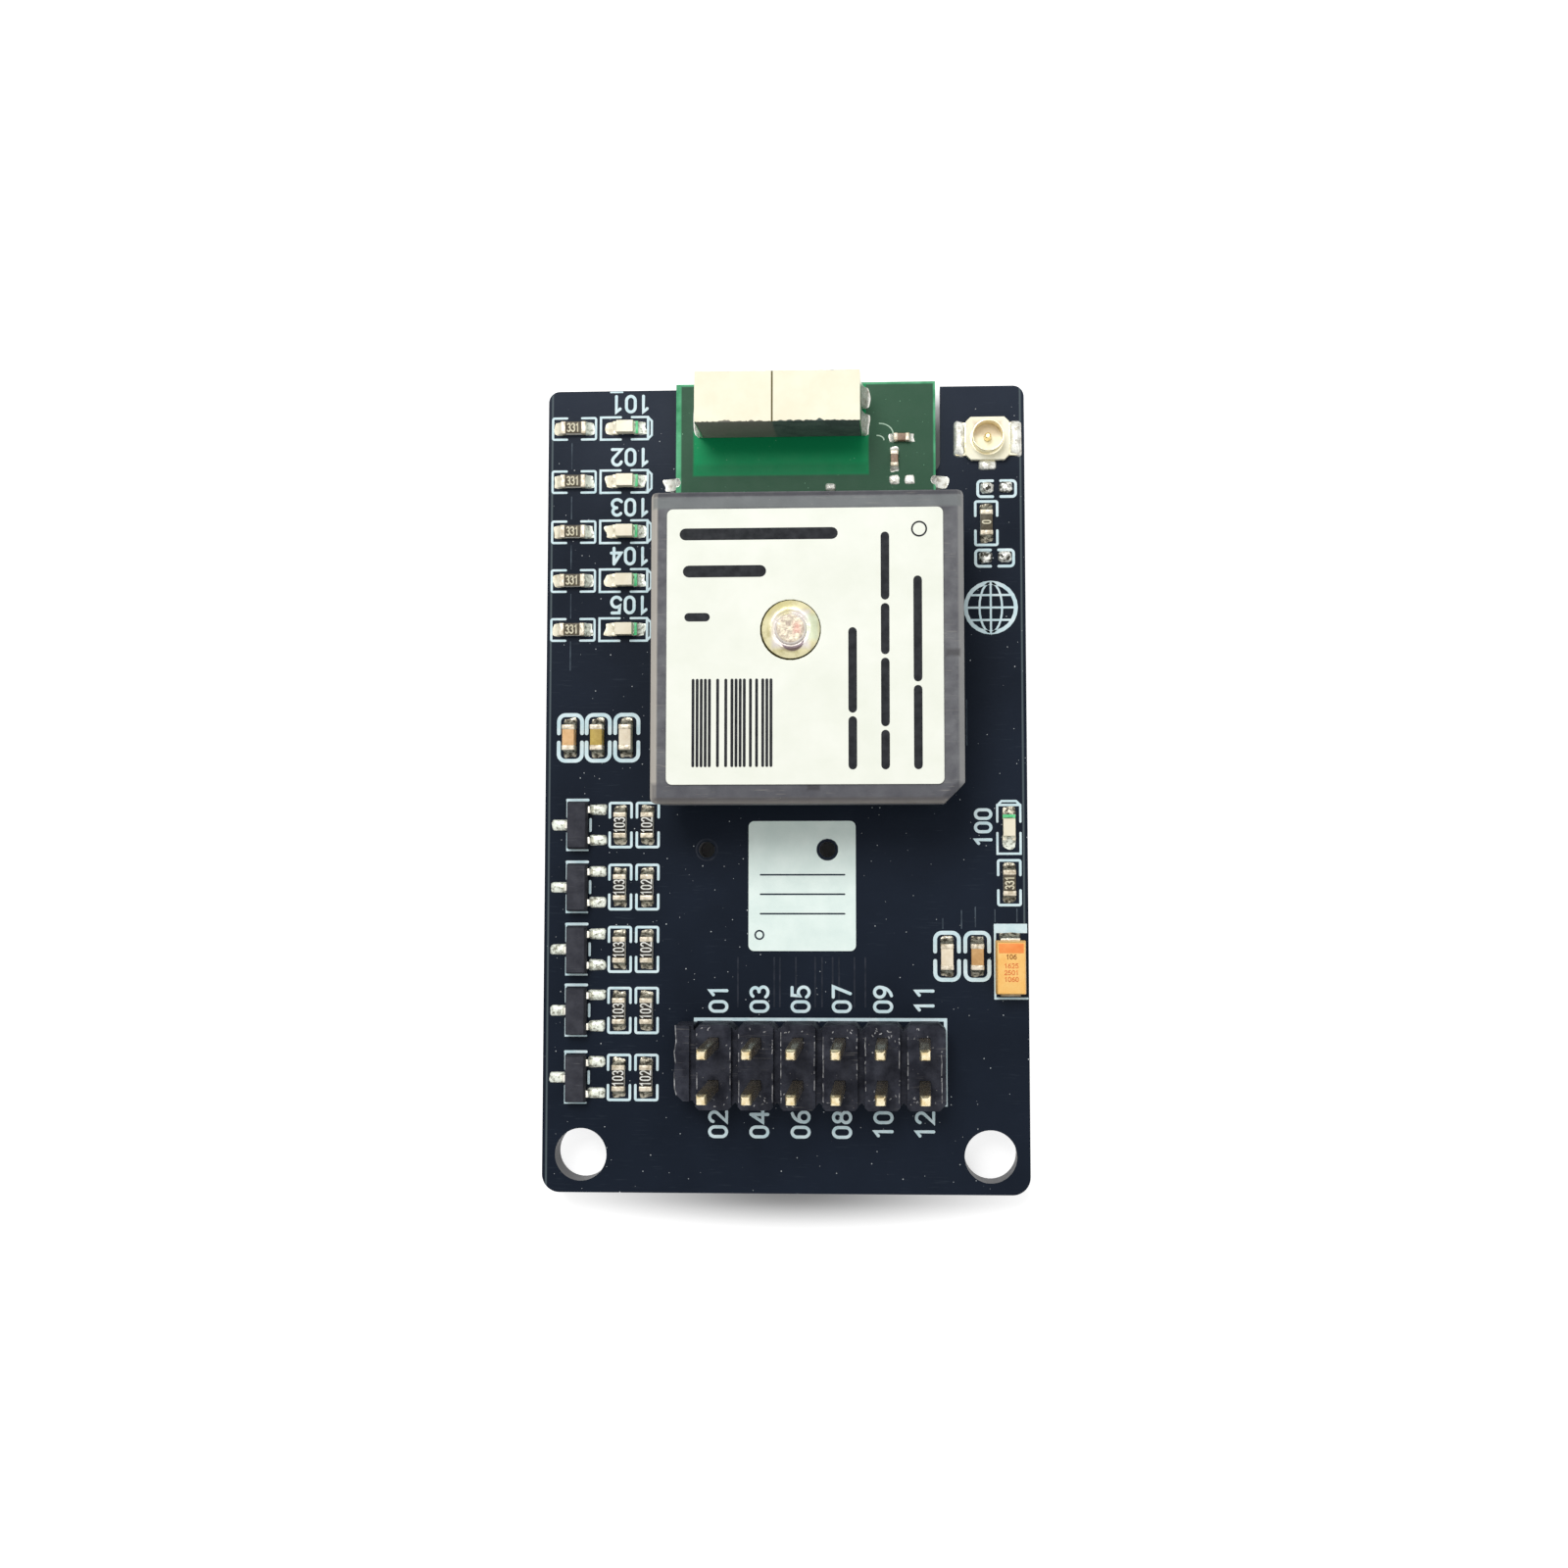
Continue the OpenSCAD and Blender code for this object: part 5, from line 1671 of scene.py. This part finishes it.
    def antenna(self) -> list[Form]:
        """Solder at the feet of the chip antenna, of the matching parts, on two bare pads, and a loose ball."""
        box = Box.of("chip_antenna_plates")
        half, top = box.size[0] / 2, Box.of("module_board").high[2]
        forms = [fillet(*self.plate_end, box.size[1], self.draw).placed(box.foot - [half, 0, 0], Turn.HALF)]
        for y in (-self.plate_foot_y, self.plate_foot_y):
            forms.append(fillet(*self.plate_foot, self.draw).placed(box.foot + [half, y, 0]))
        forms += self.chip_ends(MATCHING, 0.3, 0.6, (Joint.BRIGHT, Joint.BRIGHT), width=self.match_w)
        forms += self.mounds(self.module_pads, self.module_pad, top)
        return forms + self.mounds([self.ball_at], self.ball, top)

    def tails(self) -> list[Form]:
        """Hollow cones round the pin tails: the radius falls from foot to tip by (1 - t) squared."""
        box = Box.of("header_solder")
        foot, tip, height = self.cone
        t = np.linspace(0, 1, 9)
        radius = tip + (foot - tip) * (1 - t) ** 2
        cone = revolve(np.column_stack([radius, -height * t])[::-1], 32)
        return [cone.placed((x, y, box.high[2])) for x, y in PinHeader().places(box, foot)]

    def build(self) -> None:
        """Builds the four solder pieces."""
        groups = {
            "chip_solder": self.carrier, "module_solder": self.notches, "antenna_solder": self.antenna,
            "header_solder": self.tails,
        }
        for node, make in groups.items():
            stand_in(node, make(), self.finishes)


# The receiver module


@dataclass
class ReceiverModule:
    """Green module board with its plated notches, its shield can and what the can hides."""

    border: float = 0.17
    left_border: float = 0.36
    dull: Colour = (53, 88, 67)
    bare: Colour = (12, 140, 86)
    deep: Colour = (20, 112, 70)
    rim: Colour = (98, 184, 136)
    trace_w: float = 0.07
    trace_h: float = 0.025
    traces: tuple[Arc, ...] = (Arc(5.97, 21.74, 0.86, 0.69, 90, 0), Arc(5.82, 21.39, 0.43, 0.28, 90, 0))
    notch_r: float = 0.3
    notch_rows: int = 12
    notch_inset: float = 0.4
    can_edge: float = 0.06

    def finish(self, box: Box) -> Finish:
        """Green mask: dull over copper, saturated over bare laminate, pale at the rim and on the sides."""
        (x, y, z), half = box.centre, box.size / 2
        tall, shift = half[2] + PAST, (self.left_border - self.border) / 2
        reach = (half[0] - self.border - shift, half[1] - self.border, tall)
        zones = (
            Zone((x + shift, y, z), reach, self.dull, soft=0.08),
            Zone((-0.18, 20.65, z), (5.4, 1.32, tall), self.bare, soft=0.14),
            Zone((-0.18, 19.6, z), (5.3, 0.2, tall), self.deep, soft=0.3, strength=0.6),
            Zone((-0.1, 23.3, z), (5.2, 1.6, tall), self.bare, soft=0.05),
        )
        return Finish(
            "green_mask", self.rim, (60, 144, 98), 0.8, rough=(0.36, 0.46), shine=0.08, relief=0.006, grain=6,
            dust=0.6, dust_colour=(150, 206, 168), dust_scale=2.6, dust_size=0.09, zones=zones,
        )

    def notch_places(self, inset: float = 0.0) -> list[tuple[float, float, Turn]]:
        """Where the side notches are, right side first.

        Args:
            inset: How far inside the edge the place is.

        Returns:
            X, Y and which way the notch opens.
        """
        box, solder = Box.of("module_board"), Box.of("module_solder")
        rows = np.linspace(solder.low[1] + self.notch_inset, solder.high[1] - self.notch_inset, self.notch_rows)
        ends = ((box.high[0] - inset, Turn.NONE), (box.low[0] + inset, Turn.HALF))
        return [(x, y, turn) for x, turn in ends for y in rows]

    def plating(self, box: Box) -> list[Form]:
        """Tinned lining of the half-round notches, each a half pipe just inside the notch's wall."""
        angle = np.linspace(math.pi / 2, 3 * math.pi / 2, 9)
        outer, inner, low, high = self.notch_r + 0.02, self.notch_r - 0.01, box.low[2] + 0.02, box.high[2] - 0.03
        half_pipe = loft(lifted(np.exp(1j * angle)[:, None] * [outer, outer, inner, inner], [high, low, low, high]))
        return [half_pipe.placed((x, y, 0), turn) for x, y, turn in self.notch_places()]

    def build(self) -> None:
        """Dresses the module board and what the can hides, and builds the tracks, the plating and the can."""
        box = Box.of("module_board")
        dress("module_board", self.finish(box))
        add_piece("module_plating", self.plating(box), [SOLDER])
        tracks = inked([arc.path() for arc in self.traces], self.trace_w, box.high[2] - 0.01, self.trace_h)
        add_piece("module_tracks", tracks, [TRACK_RIDGE])
        soften("module_shield", [TIN_SHEET], self.can_edge)
        hidden = {
            "receiver_chip": RESIN, "crystal_oscillator": ALUMINA, "saw_filter": ALUMINA,
            "antenna_adhesive": ADHESIVE,
        }
        for node, finish in hidden.items():
            dress(node, finish)


# Antennas


@dataclass
class PatchAntenna:
    """Ceramic patch with its electrode, label and soldered feed pin.

    The label's columns and rows of bars are given about its middle: the line's place and the bars' ends.
    """

    edge: float = 0.07
    head_r: float = 1.7
    slope_r: float = 1.1
    boss_r: float = 0.95
    flat_r: float = 0.85
    head_h: float = 0.5
    shank_r: float = 0.5
    dent: float = 0.008
    sides: int = 96
    crease: float = 50.0
    lip: float = 0.02
    hole_gap: float = 0.085
    hole_shift: complex = -0.025 - 0.025j
    mark_t: float = 0.008
    bar_w: float = 0.5
    broad_w: float = 0.7
    strip_w: float = 0.17
    ring_w: float = 0.1
    columns: tuple[Point, ...] = (
        (2.8, -7.0, -4.4), (2.8, -3.7, 0.8), (4.7, -7.0, -5.2), (4.7, -4.5, -1.0), (4.7, -0.3, 2.2),
        (4.7, 2.9, 6.4), (6.6, -7.0, -2.6), (6.6, -1.9, 3.8),
    )
    rows: tuple[Point, ...] = ((6.6, -7.0, 1.6), (4.4, -6.8, -2.6))
    dash: Point = (1.7, -6.8, -5.8)
    strip: tuple[complex, complex] = (-7.0 - 7.0j, -1.6 - 2.0j)
    strip_steps: tuple[float, ...] = (0.24, 0.36, 0.48)
    ring: Round = (6.7 + 6.8j, 0.42)
    feed_gap_shadow: Colour = (34, 31, 12)
    seed: int = 3

    def profile(self, seat: float) -> Array:
        """Outline of the feed pin from its foot: shank, rim, a slope of a quarter sine wave, groove and boss."""
        top, boss = seat + self.head_h, self.boss_r
        t, start = np.linspace(0, 1, 9), self.head_r - 0.03
        slope = np.column_stack([start - (start - self.slope_r) * t, seat + 0.12 + 0.22 * np.sin(t * math.pi / 2)])
        return np.array([
            [self.shank_r, 0.0], [self.shank_r, seat],
            [self.head_r - 0.05, seat], [self.head_r, seat + 0.04], [self.head_r, seat + 0.09],
            *slope,
            [boss + 0.03, seat + 0.285], [boss, seat + 0.29], [boss - 0.03, top - 0.13], [boss - 0.06, top - 0.05],
            [self.flat_r - 0.03, top - 0.01], [0.7, top], [0.52, top - 0.012], [0.34, top - 0.02],
            [0.16, top - 0.022],
        ])

    def head(self) -> Form:
        """Feed pin: a shank, a head that rises from its rim to a groove, and a dimpled boss.

        The size of slow waves round the pin and across it dents the head by up to two hundredths.
        """
        box = Box.of("feed_pin")
        seat = box.size[2] - self.head_h
        form = revolve(self.profile(seat), self.sides)
        x, y, z = form.points.T
        radius, angle = np.hypot(x, y), np.arctan2(y, x)
        waves = np.sin(3 * angle + 0.7) + 0.6 * np.sin(7 * angle + 4 * radius) + 0.7 * np.sin(9 * x) * np.cos(8 * y)
        dent = self.dent * np.abs(waves) * (z > seat + 0.1) * (radius > 0.1)
        middles = form.points[form.quads].mean(axis=1)
        coats = form.coats.copy()
        coats[: len(middles)] = (middles[:, 2] > seat) & (np.hypot(*middles[:, :2].T) < self.flat_r)
        coats[-self.sides :] = 1
        return replace(form, points=lifted(x + 1j * y, z - dent), coats=coats).placed(box.foot)

    def label(self) -> Form:
        """Label film: rays from the middle of its hole join the hole's edge to the rounded outline."""
        box, hole, lip = Box.of("patch_label"), Box.of("feed_pin").middle, self.lip
        outer = fine_outline(*box.size[:2], box.middle)
        away = np.exp(1j * np.angle(outer - hole))
        inner = hole + self.hole_shift + (self.head_r + self.hole_gap) * away
        flat = np.stack([inner + lip * away, outer - lip * away, outer, outer, inner, inner], axis=-1)
        top, low = box.high[2], box.low[2]
        return loft(lifted(flat, [top, top, top - lip, low, low, top - lip]), looped=True)

    def marks(self) -> list[Form]:
        """Plain print on the label: columns and rows of bars, a dash, a bar strip and a ring."""
        box, (first, last) = Box.of("patch_label"), self.strip
        steps = np.random.default_rng(self.seed).choice(self.strip_steps, 22)
        edges = first.real + np.cumsum(steps)
        strip = [upright(x, first.imag, last.imag) for x in edges if x < last.real]
        lines = (
            (self.bar_w, [upright(*bar) for bar in self.columns]), (self.broad_w, [level(*bar) for bar in self.rows]),
            (self.bar_w, [level(*self.dash)]), (self.strip_w, strip), (self.ring_w, [ring(*self.ring)]),
        )
        return [
            form for width, paths in lines
            for form in inked([path + box.middle for path in paths], width, box.high[2] - SUNK, self.mark_t)
        ]

    def build(self) -> None:
        """Builds the patch, the label with its print, and the feed pin."""
        soften("patch_ceramic", [CERAMIC], self.edge)
        # Painted shadow: the electrode is drawn nearly black round the feed pin, where it shows in the gap between
        # the pin's head and the label.
        feed = Zone((*Box.of("feed_pin").centre[:2], 9.8), (2.0, 2.0, 1.0), self.feed_gap_shadow, soft=0.1)
        dress("patch_electrode", replace(TIN_SHEET, name="silver_print", zones=(feed,)))
        stand_in("patch_label", [self.label()], [LABEL])
        add_piece("label_print", self.marks(), [LABEL_INK])
        stand_in("feed_pin", [self.head()], [FEED_GOLD, FEED_TOP], self.crease)


@dataclass
class ChipAntenna:
    """Dark ceramic block with two printed plates that fold over its ends."""

    edge: float = 0.04
    split: float = -0.4
    gap: float = 0.11
    film: float = 0.05
    ragged: float = 0.1
    back_share: float = 0.4
    steps: int = 60
    foot_w: float = 1.4
    seed: int = 11

    def plate(self, box: Box, start: float, end: float, draw: Chance) -> Form:
        """Top plate from one x to another, its long edges a little ragged.

        Each edge moves inwards by the size of smoothed random noise, which fades at both ends.
        """
        x = np.linspace(start, end, self.steps)[:, None]
        fade = np.sin(np.linspace(0, math.pi, self.steps)) ** 0.3
        wander = draw.normal(0, 1, (2, self.steps + 2))
        smooth = np.stack([np.convolve(row, np.ones(3) / 3, "valid") for row in wander]) * self.ragged * fade
        front = box.low[1] + np.abs(smooth[0])
        back = box.high[1] - np.abs(smooth[1]) * self.back_share
        top, low = box.high[2], box.high[2] - self.film
        return loft(lifted(x + 1j * np.stack([front, back, back, front], axis=-1), [low, low, top, top]))

    def end_film(self, width: float, height: float) -> Form:
        """Strip of film down one end of the block."""
        return block((self.film, width, height), corner=0.01, edge=0.02).coated(1)

    def build(self) -> None:
        """Builds the block and its plates."""
        soften("chip_antenna", [ANTENNA_CERAMIC], self.edge)
        box = Box.of("chip_antenna_plates")
        draw = np.random.default_rng(self.seed)
        half, height = self.gap / 2, box.size[2] - 0.01
        spans = ((box.low[0], self.split - half), (self.split + half, box.high[0]))
        forms = [self.plate(box, *span, draw) for span in spans]
        reach, foot_y = (box.size[0] - self.film) / 2, (box.size[1] - self.foot_w) / 2
        forms.append(self.end_film(box.size[1], height).placed(box.foot - [reach, 0, 0]))
        for y in (-foot_y, foot_y):
            forms.append(self.end_film(self.foot_w, height).placed(box.foot + [reach, y, 0]))
        stand_in("chip_antenna_plates", forms, [ANTENNA_PRINT, TINNED])


# Socket and header


@dataclass
class CoaxSocket:
    """Coaxial socket: white base, gold ring with side tabs, and a centre contact."""

    ring_r: float = 1.0
    wall: float = 0.1
    flange: float = 0.06
    flange_z: Pair = (0.15, 0.39)
    tab: Point = (1.2, 2.1, 0.15)
    signal: Point = (0.9, 1.75, 0.12)
    pin_r: float = 0.22
    pin_h: float = 1.05
    base_edge: float = 0.06

    def shell(self, size: Point) -> list[Form]:
        """Ring with a round lip over a flange, and its two side tabs."""
        half = self.wall / 2
        bend = np.linspace(0, math.pi, 7)
        lip = np.column_stack([self.ring_r - half + half * np.cos(bend[::-1]), size[2] - half + half * np.sin(bend)])
        (low, high), out = self.flange_z, self.ring_r + self.flange
        foot = [[self.ring_r, high + 0.01], [out, high], [out, low], [self.ring_r - self.wall, low]]
        reach = (size[0] - self.tab[0]) / 2
        tabs = [block(self.tab, corner=0.06, edge=0.04).placed((side * reach, 0, 0)) for side in (-1, 1)]
        return [revolve(np.array([*lip, *foot]), 64, hollow=True), *tabs]

    def contact(self) -> list[Form]:
        """Round-tipped centre pin and the strip that leads to it."""
        r = self.pin_r
        pin = np.array([[r, 0.0], [r, 0.85], [r * 0.9, 0.97], [r * 0.5, self.pin_h]])
        strip = block(self.signal, corner=0.05, edge=0.03)
        return [revolve(pin, 32), strip.placed((0, -self.signal[1] / 2, 0))]

    def build(self) -> None:
        """Builds the ring with its tabs, the contact and the base."""
        box = Box.of("coax_shell")
        pieces = {"coax_shell": (self.shell(box.size), PALE_GOLD), "coax_contact": (self.contact(), GOLD)}
        for node, (forms, finish) in pieces.items():
            stand_in(node, [form.placed(box.foot) for form in forms], [finish])
        soften("coax_insulator", [WHITE_PLASTIC], self.base_edge)


@dataclass
class PinHeader:
    """Two-row pin header: a housing in cells with worn edges and painted highlights along its grooves, and square
    gilt pins.
    """

    side: float = 0.64
    point: float = 0.4
    taper: float = 0.5
    corner: float = 0.07
    columns: int = 6
    pitch: float = 2.54
    groove_w: float = 0.4
    edge: float = 0.05
    stub: Pair = (1.15, 0.1)
    stub_edge: tuple[complex, ...] = (
        0.95 + 0.98j, 0.9 + 0.6j, 1 + 0.35j, 0.93 + 0.1j, 1 - 0.15j, 0.97 - 0.5j, 0.88 - 0.64j,
    )
    seed: int = 21
    # Pale lines along the grooves' edges, partly worn plastic and partly painted highlights where the edges catch the
    # light.
    wear_and_highlight_t: float = 0.006
    lit_wear_w: float = 0.05
    lit_wear_reach: float = 2.1
    lit_wear_runs: int = 6
    lit_wear_shift: float = 0.012
    nicks: int = 84
    nick_w: float = 0.06
    nick_l: Pair = (0.03, 0.12)
    nick_across: Pair = (0.05, 0.85)
    nick_reach: float = 2.34
    nick_crowd: float = 0.22

    def column_places(self, box: Box, inset: float) -> Array:
        """X of each column, the outer ones inset from a box's sides."""
        return np.linspace(box.low[0] + inset, box.high[0] - inset, self.columns)

    def places(self, box: Box, inset: float) -> list[Pair]:
        """X and Y of each pin, the outer ones inset from a box's sides."""
        rows = (box.low[1] + inset, box.high[1] - inset)
        return [(x, y) for x in self.column_places(box, inset) for y in rows]

    def pin(self, low: float, high: float) -> Form:
        """Square pin with rounded corners: the side falls from full to the point over each taper."""
        z = np.array([low, low + 0.04, low + self.taper, high - self.taper, high - 0.05, high])
        sides = np.array([self.point - 0.06, self.point, self.side, self.side, self.point + 0.06, self.point - 0.02])
        return loft(stacked([rounded_outline(s, s, self.corner, 3) for s in sides], z))

    def worn(self, x: float, y: float, draw: Chance) -> list[Array]:
        """Broken pale line along one upright edge, partly worn and partly a painted highlight: random lengths, most
        of them bare.
        """
        cuts = np.sort(draw.uniform(y - self.lit_wear_reach, y + self.lit_wear_reach, 2 * self.lit_wear_runs))
        shift = draw.normal(0, self.lit_wear_shift, (self.lit_wear_runs, 2))
        return list(x + shift + 1j * cuts.reshape(-1, 2))

    def nicked(self, first: complex, draw: Chance) -> list[Array]:
        """Short pale nicks strewn over the cell tops beside the pins, more of them towards the ends."""
        count = self.nicks
        cell, side = draw.integers(0, self.columns, count), draw.choice([-1, 1], (2, count))
        across = draw.uniform(*self.nick_across, count)
        along = self.nick_reach * draw.uniform(0, 1, count) ** self.nick_crowd
        starts = first + (cell + 0.5) * self.pitch + side[0] * across + 1j * side[1] * along
        runs = draw.uniform(*self.nick_l, count) * np.exp(1j * draw.uniform(0, math.pi, count))
        return list(np.column_stack([starts, starts + runs]))

    def wear_and_highlights(self) -> list[Form]:
        """Pale groove lines, worn and painted as highlights, nicks on the cells, and the broken edge of the stub."""
        box = Box.of("header_housing")
        draw = np.random.default_rng(self.seed)
        first = complex(Box.of("header_pins").low[0] + self.side / 2 - self.pitch / 2, box.centre[1])
        top, beside = box.high[2] - 0.003, self.groove_w / 2 + 0.06
        edges = [first.real + i * self.pitch + side * beside for i in range(self.columns + 1) for side in (-1, 1)]
        lines = [path for x in edges[1:-1] for path in self.worn(x, first.imag, draw)]
        length, drop = self.stub
        share = np.array(self.stub_edge)
        broken = first - share.real * (length - 0.04) + 1j * share.imag * self.pitch
        rows = (
            (lines, self.lit_wear_w, top), (self.nicked(first, draw), self.nick_w, top),
            ([broken[:4], broken[4:]], self.nick_w, top - drop),
        )
        return [form for paths, width, z in rows for form in inked(paths, width, z, self.wear_and_highlight_t)]

    def build(self) -> None:
        """Softens the housing and builds its worn marks with the painted groove highlights, and the pins."""
        soften("header_housing", [PLASTIC], self.edge)
        add_piece("housing_wear", self.wear_and_highlights(), [WEAR_AND_HIGHLIGHT])
        box = Box.of("header_pins")
        pin = self.pin(box.low[2], box.high[2])
        pins = [pin.placed((x, y, 0)) for x, y in self.places(box, self.side / 2)]
        stand_in("header_pins", pins, [PIN_GOLD])


# The studio


@dataclass
class Studio:
    """Pale floor, white surroundings, soft lamps and the camera of the photograph."""

    camera_at: Point = (8.25, -3.66, 107.33)
    forward: Point = (-0.04532, 0.06387, -0.99693)
    up: Point = (0.00479, 0.99796, 0.06372)
    focal_px: float = 1718.5
    frame_px: float = 1600.0
    axis_px: Pair = (858.26, 750.48)
    sensor: float = 36.0
    clip: Pair = (0.005, 20.0)
    floor_half: float = 2500.0
    floor_glow: float = 0.76
    floor_grey: float = 0.6
    floor_drop: float = 0.02
    shades: tuple[Zone, ...] = (
        Zone((0.0, -2.0, 0.0), (9.0, 20.0, 5.0), (0, 0, 0), 1.5),
        Zone((1.5, 12.3, 0.0), (10.5, 12.1, 5.0), (0, 0, 0), 1.3),
    )
    shadow_at: Point = (0.2, -25.64, 0.0)
    shadow_reach: Point = (18.5, 3.6, 1.0)
    sky: float = 0.5
    lamps: tuple[tuple[str, Point, float, float], ...] = (
        ("key_lamp", (-40.0, 130.0, 250.0), 120.0, 0.44), ("fill_lamp", (120.0, -60.0, 240.0), 160.0, 0.06),
    )

    def camera(self) -> None:
        """Camera with the focal length and the off-centre axis worked out from the photograph."""
        data = bpy.data.cameras.new("camera")
        data.sensor_width = self.sensor
        data.lens = self.focal_px / self.frame_px * self.sensor
        data.shift_x = (self.frame_px / 2 - self.axis_px[0]) / self.frame_px
        data.shift_y = (self.axis_px[1] - self.frame_px / 2) / self.frame_px
        data.clip_start, data.clip_end = self.clip
        ahead, up = Vector(self.forward).normalized(), Vector(self.up)
        right = ahead.cross(up).normalized()
        turn = Matrix((right, right.cross(ahead), -ahead)).transposed()
        eye = linked("camera", data)
        eye.matrix_world = Matrix.Translation(Vector(self.camera_at) * MM) @ turn.to_4x4()
        bpy.context.scene.camera = eye

    def shown(self, graph: Graph) -> Socket:
        """1 for rays from the camera, from gloss and through glass."""
        path = graph.add("ShaderNodeLightPath").outputs
        seen = graph.math("MAXIMUM", path["Is Camera Ray"], path["Is Glossy Ray"])
        return graph.math("MAXIMUM", seen, path["Is Transmission Ray"])

    def floor(self) -> None:
        """Pale floor, clear from below, that glows a little to the eye apart from the shade under the board."""
        half = self.floor_half * MM
        mesh = bpy.data.meshes.new("floor")
        corners = [(-half, -half, 0.0), (half, -half, 0.0), (half, half, 0.0), (-half, half, 0.0)]
        mesh.from_pydata(corners, [], [(0, 1, 2, 3)])
        material = bpy.data.materials.new("pale_floor")
        graph = Graph.of(material)
        place = graph.place()
        shadow = graph.group(hump(), {"Place": place, "Centre": self.shadow_at, "Reach": self.shadow_reach})
        glow = graph.math("MULTIPLY", self.shown(graph), self.floor_glow)
        for share in [*(shade.share(graph, place) for shade in self.shades), shadow]:
            glow = graph.math("MULTIPLY", glow, graph.math("SUBTRACT", 1.0, share))
        matte = graph.add("ShaderNodeBsdfDiffuse", {"Color": (*[self.floor_grey] * 3, 1.0)})
        light = graph.add("ShaderNodeEmission", {"Color": WHITE, "Strength": glow})
        both = graph.add("ShaderNodeAddShader", {0: matte.outputs[0], 1: light.outputs[0]})
        behind = graph.add("ShaderNodeNewGeometry").outputs["Backfacing"]
        clear = graph.add("ShaderNodeBsdfTransparent")
        sided = graph.add("ShaderNodeMixShader", {0: behind, 1: both.outputs[0], 2: clear.outputs[0]})
        graph.add("ShaderNodeOutputMaterial", {"Surface": sided.outputs[0]})
        mesh.materials.append(material)
        floor = linked("floor", mesh)
        floor.location.z = -self.floor_drop * MM

    def surroundings(self) -> None:
        """White to the eye and in gloss, and a plain sky to the light."""
        world = bpy.data.worlds.new("studio")
        graph = Graph.of(world)
        lift = graph.math("MULTIPLY", self.shown(graph), 1.0 - self.sky)
        strength = graph.math("ADD", lift, self.sky)
        sky = graph.add("ShaderNodeBackground", {"Color": WHITE, "Strength": strength})
        graph.add("ShaderNodeOutputWorld", {"Surface": sky.outputs[0]})
        bpy.context.scene.world = world

    def lamp(self, name: str, place: Point, size: float, power: float) -> None:
        """Square soft lamp that faces the board."""
        data = bpy.data.lights.new(name, "AREA")
        data.size = size * MM
        data.energy = power
        lamp = linked(name, data)
        lamp.location = Vector(place) * MM
        lamp.rotation_mode = "QUATERNION"
        lamp.rotation_quaternion = Vector(place).to_track_quat("Z", "Y")

    def build(self) -> None:
        """Sets the stage."""
        bpy.context.scene.view_settings.view_transform = "Standard"
        self.camera()
        self.floor()
        self.surroundings()
        for lamp in self.lamps:
            self.lamp(*lamp)


def main() -> None:
    """Builds the studio and the board's sub-assemblies in order."""
    logging.basicConfig(level=logging.INFO, format="%(name)s %(message)s")
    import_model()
    Studio().build()
    assemblies = (
        Carrier(), CarrierPrint(), ReceiverModule(), PatchAntenna(), ChipAntenna(), CoaxSocket(), ChipParts(),
        Transistors(), Tantalum(), SolderJoints(), PinHeader(),
    )
    for assembly in assemblies:
        assembly.build()
        LOG.info("%s done", type(assembly).__name__)
    bpy.context.view_layer.update()


if __name__ == "__main__":
    main()
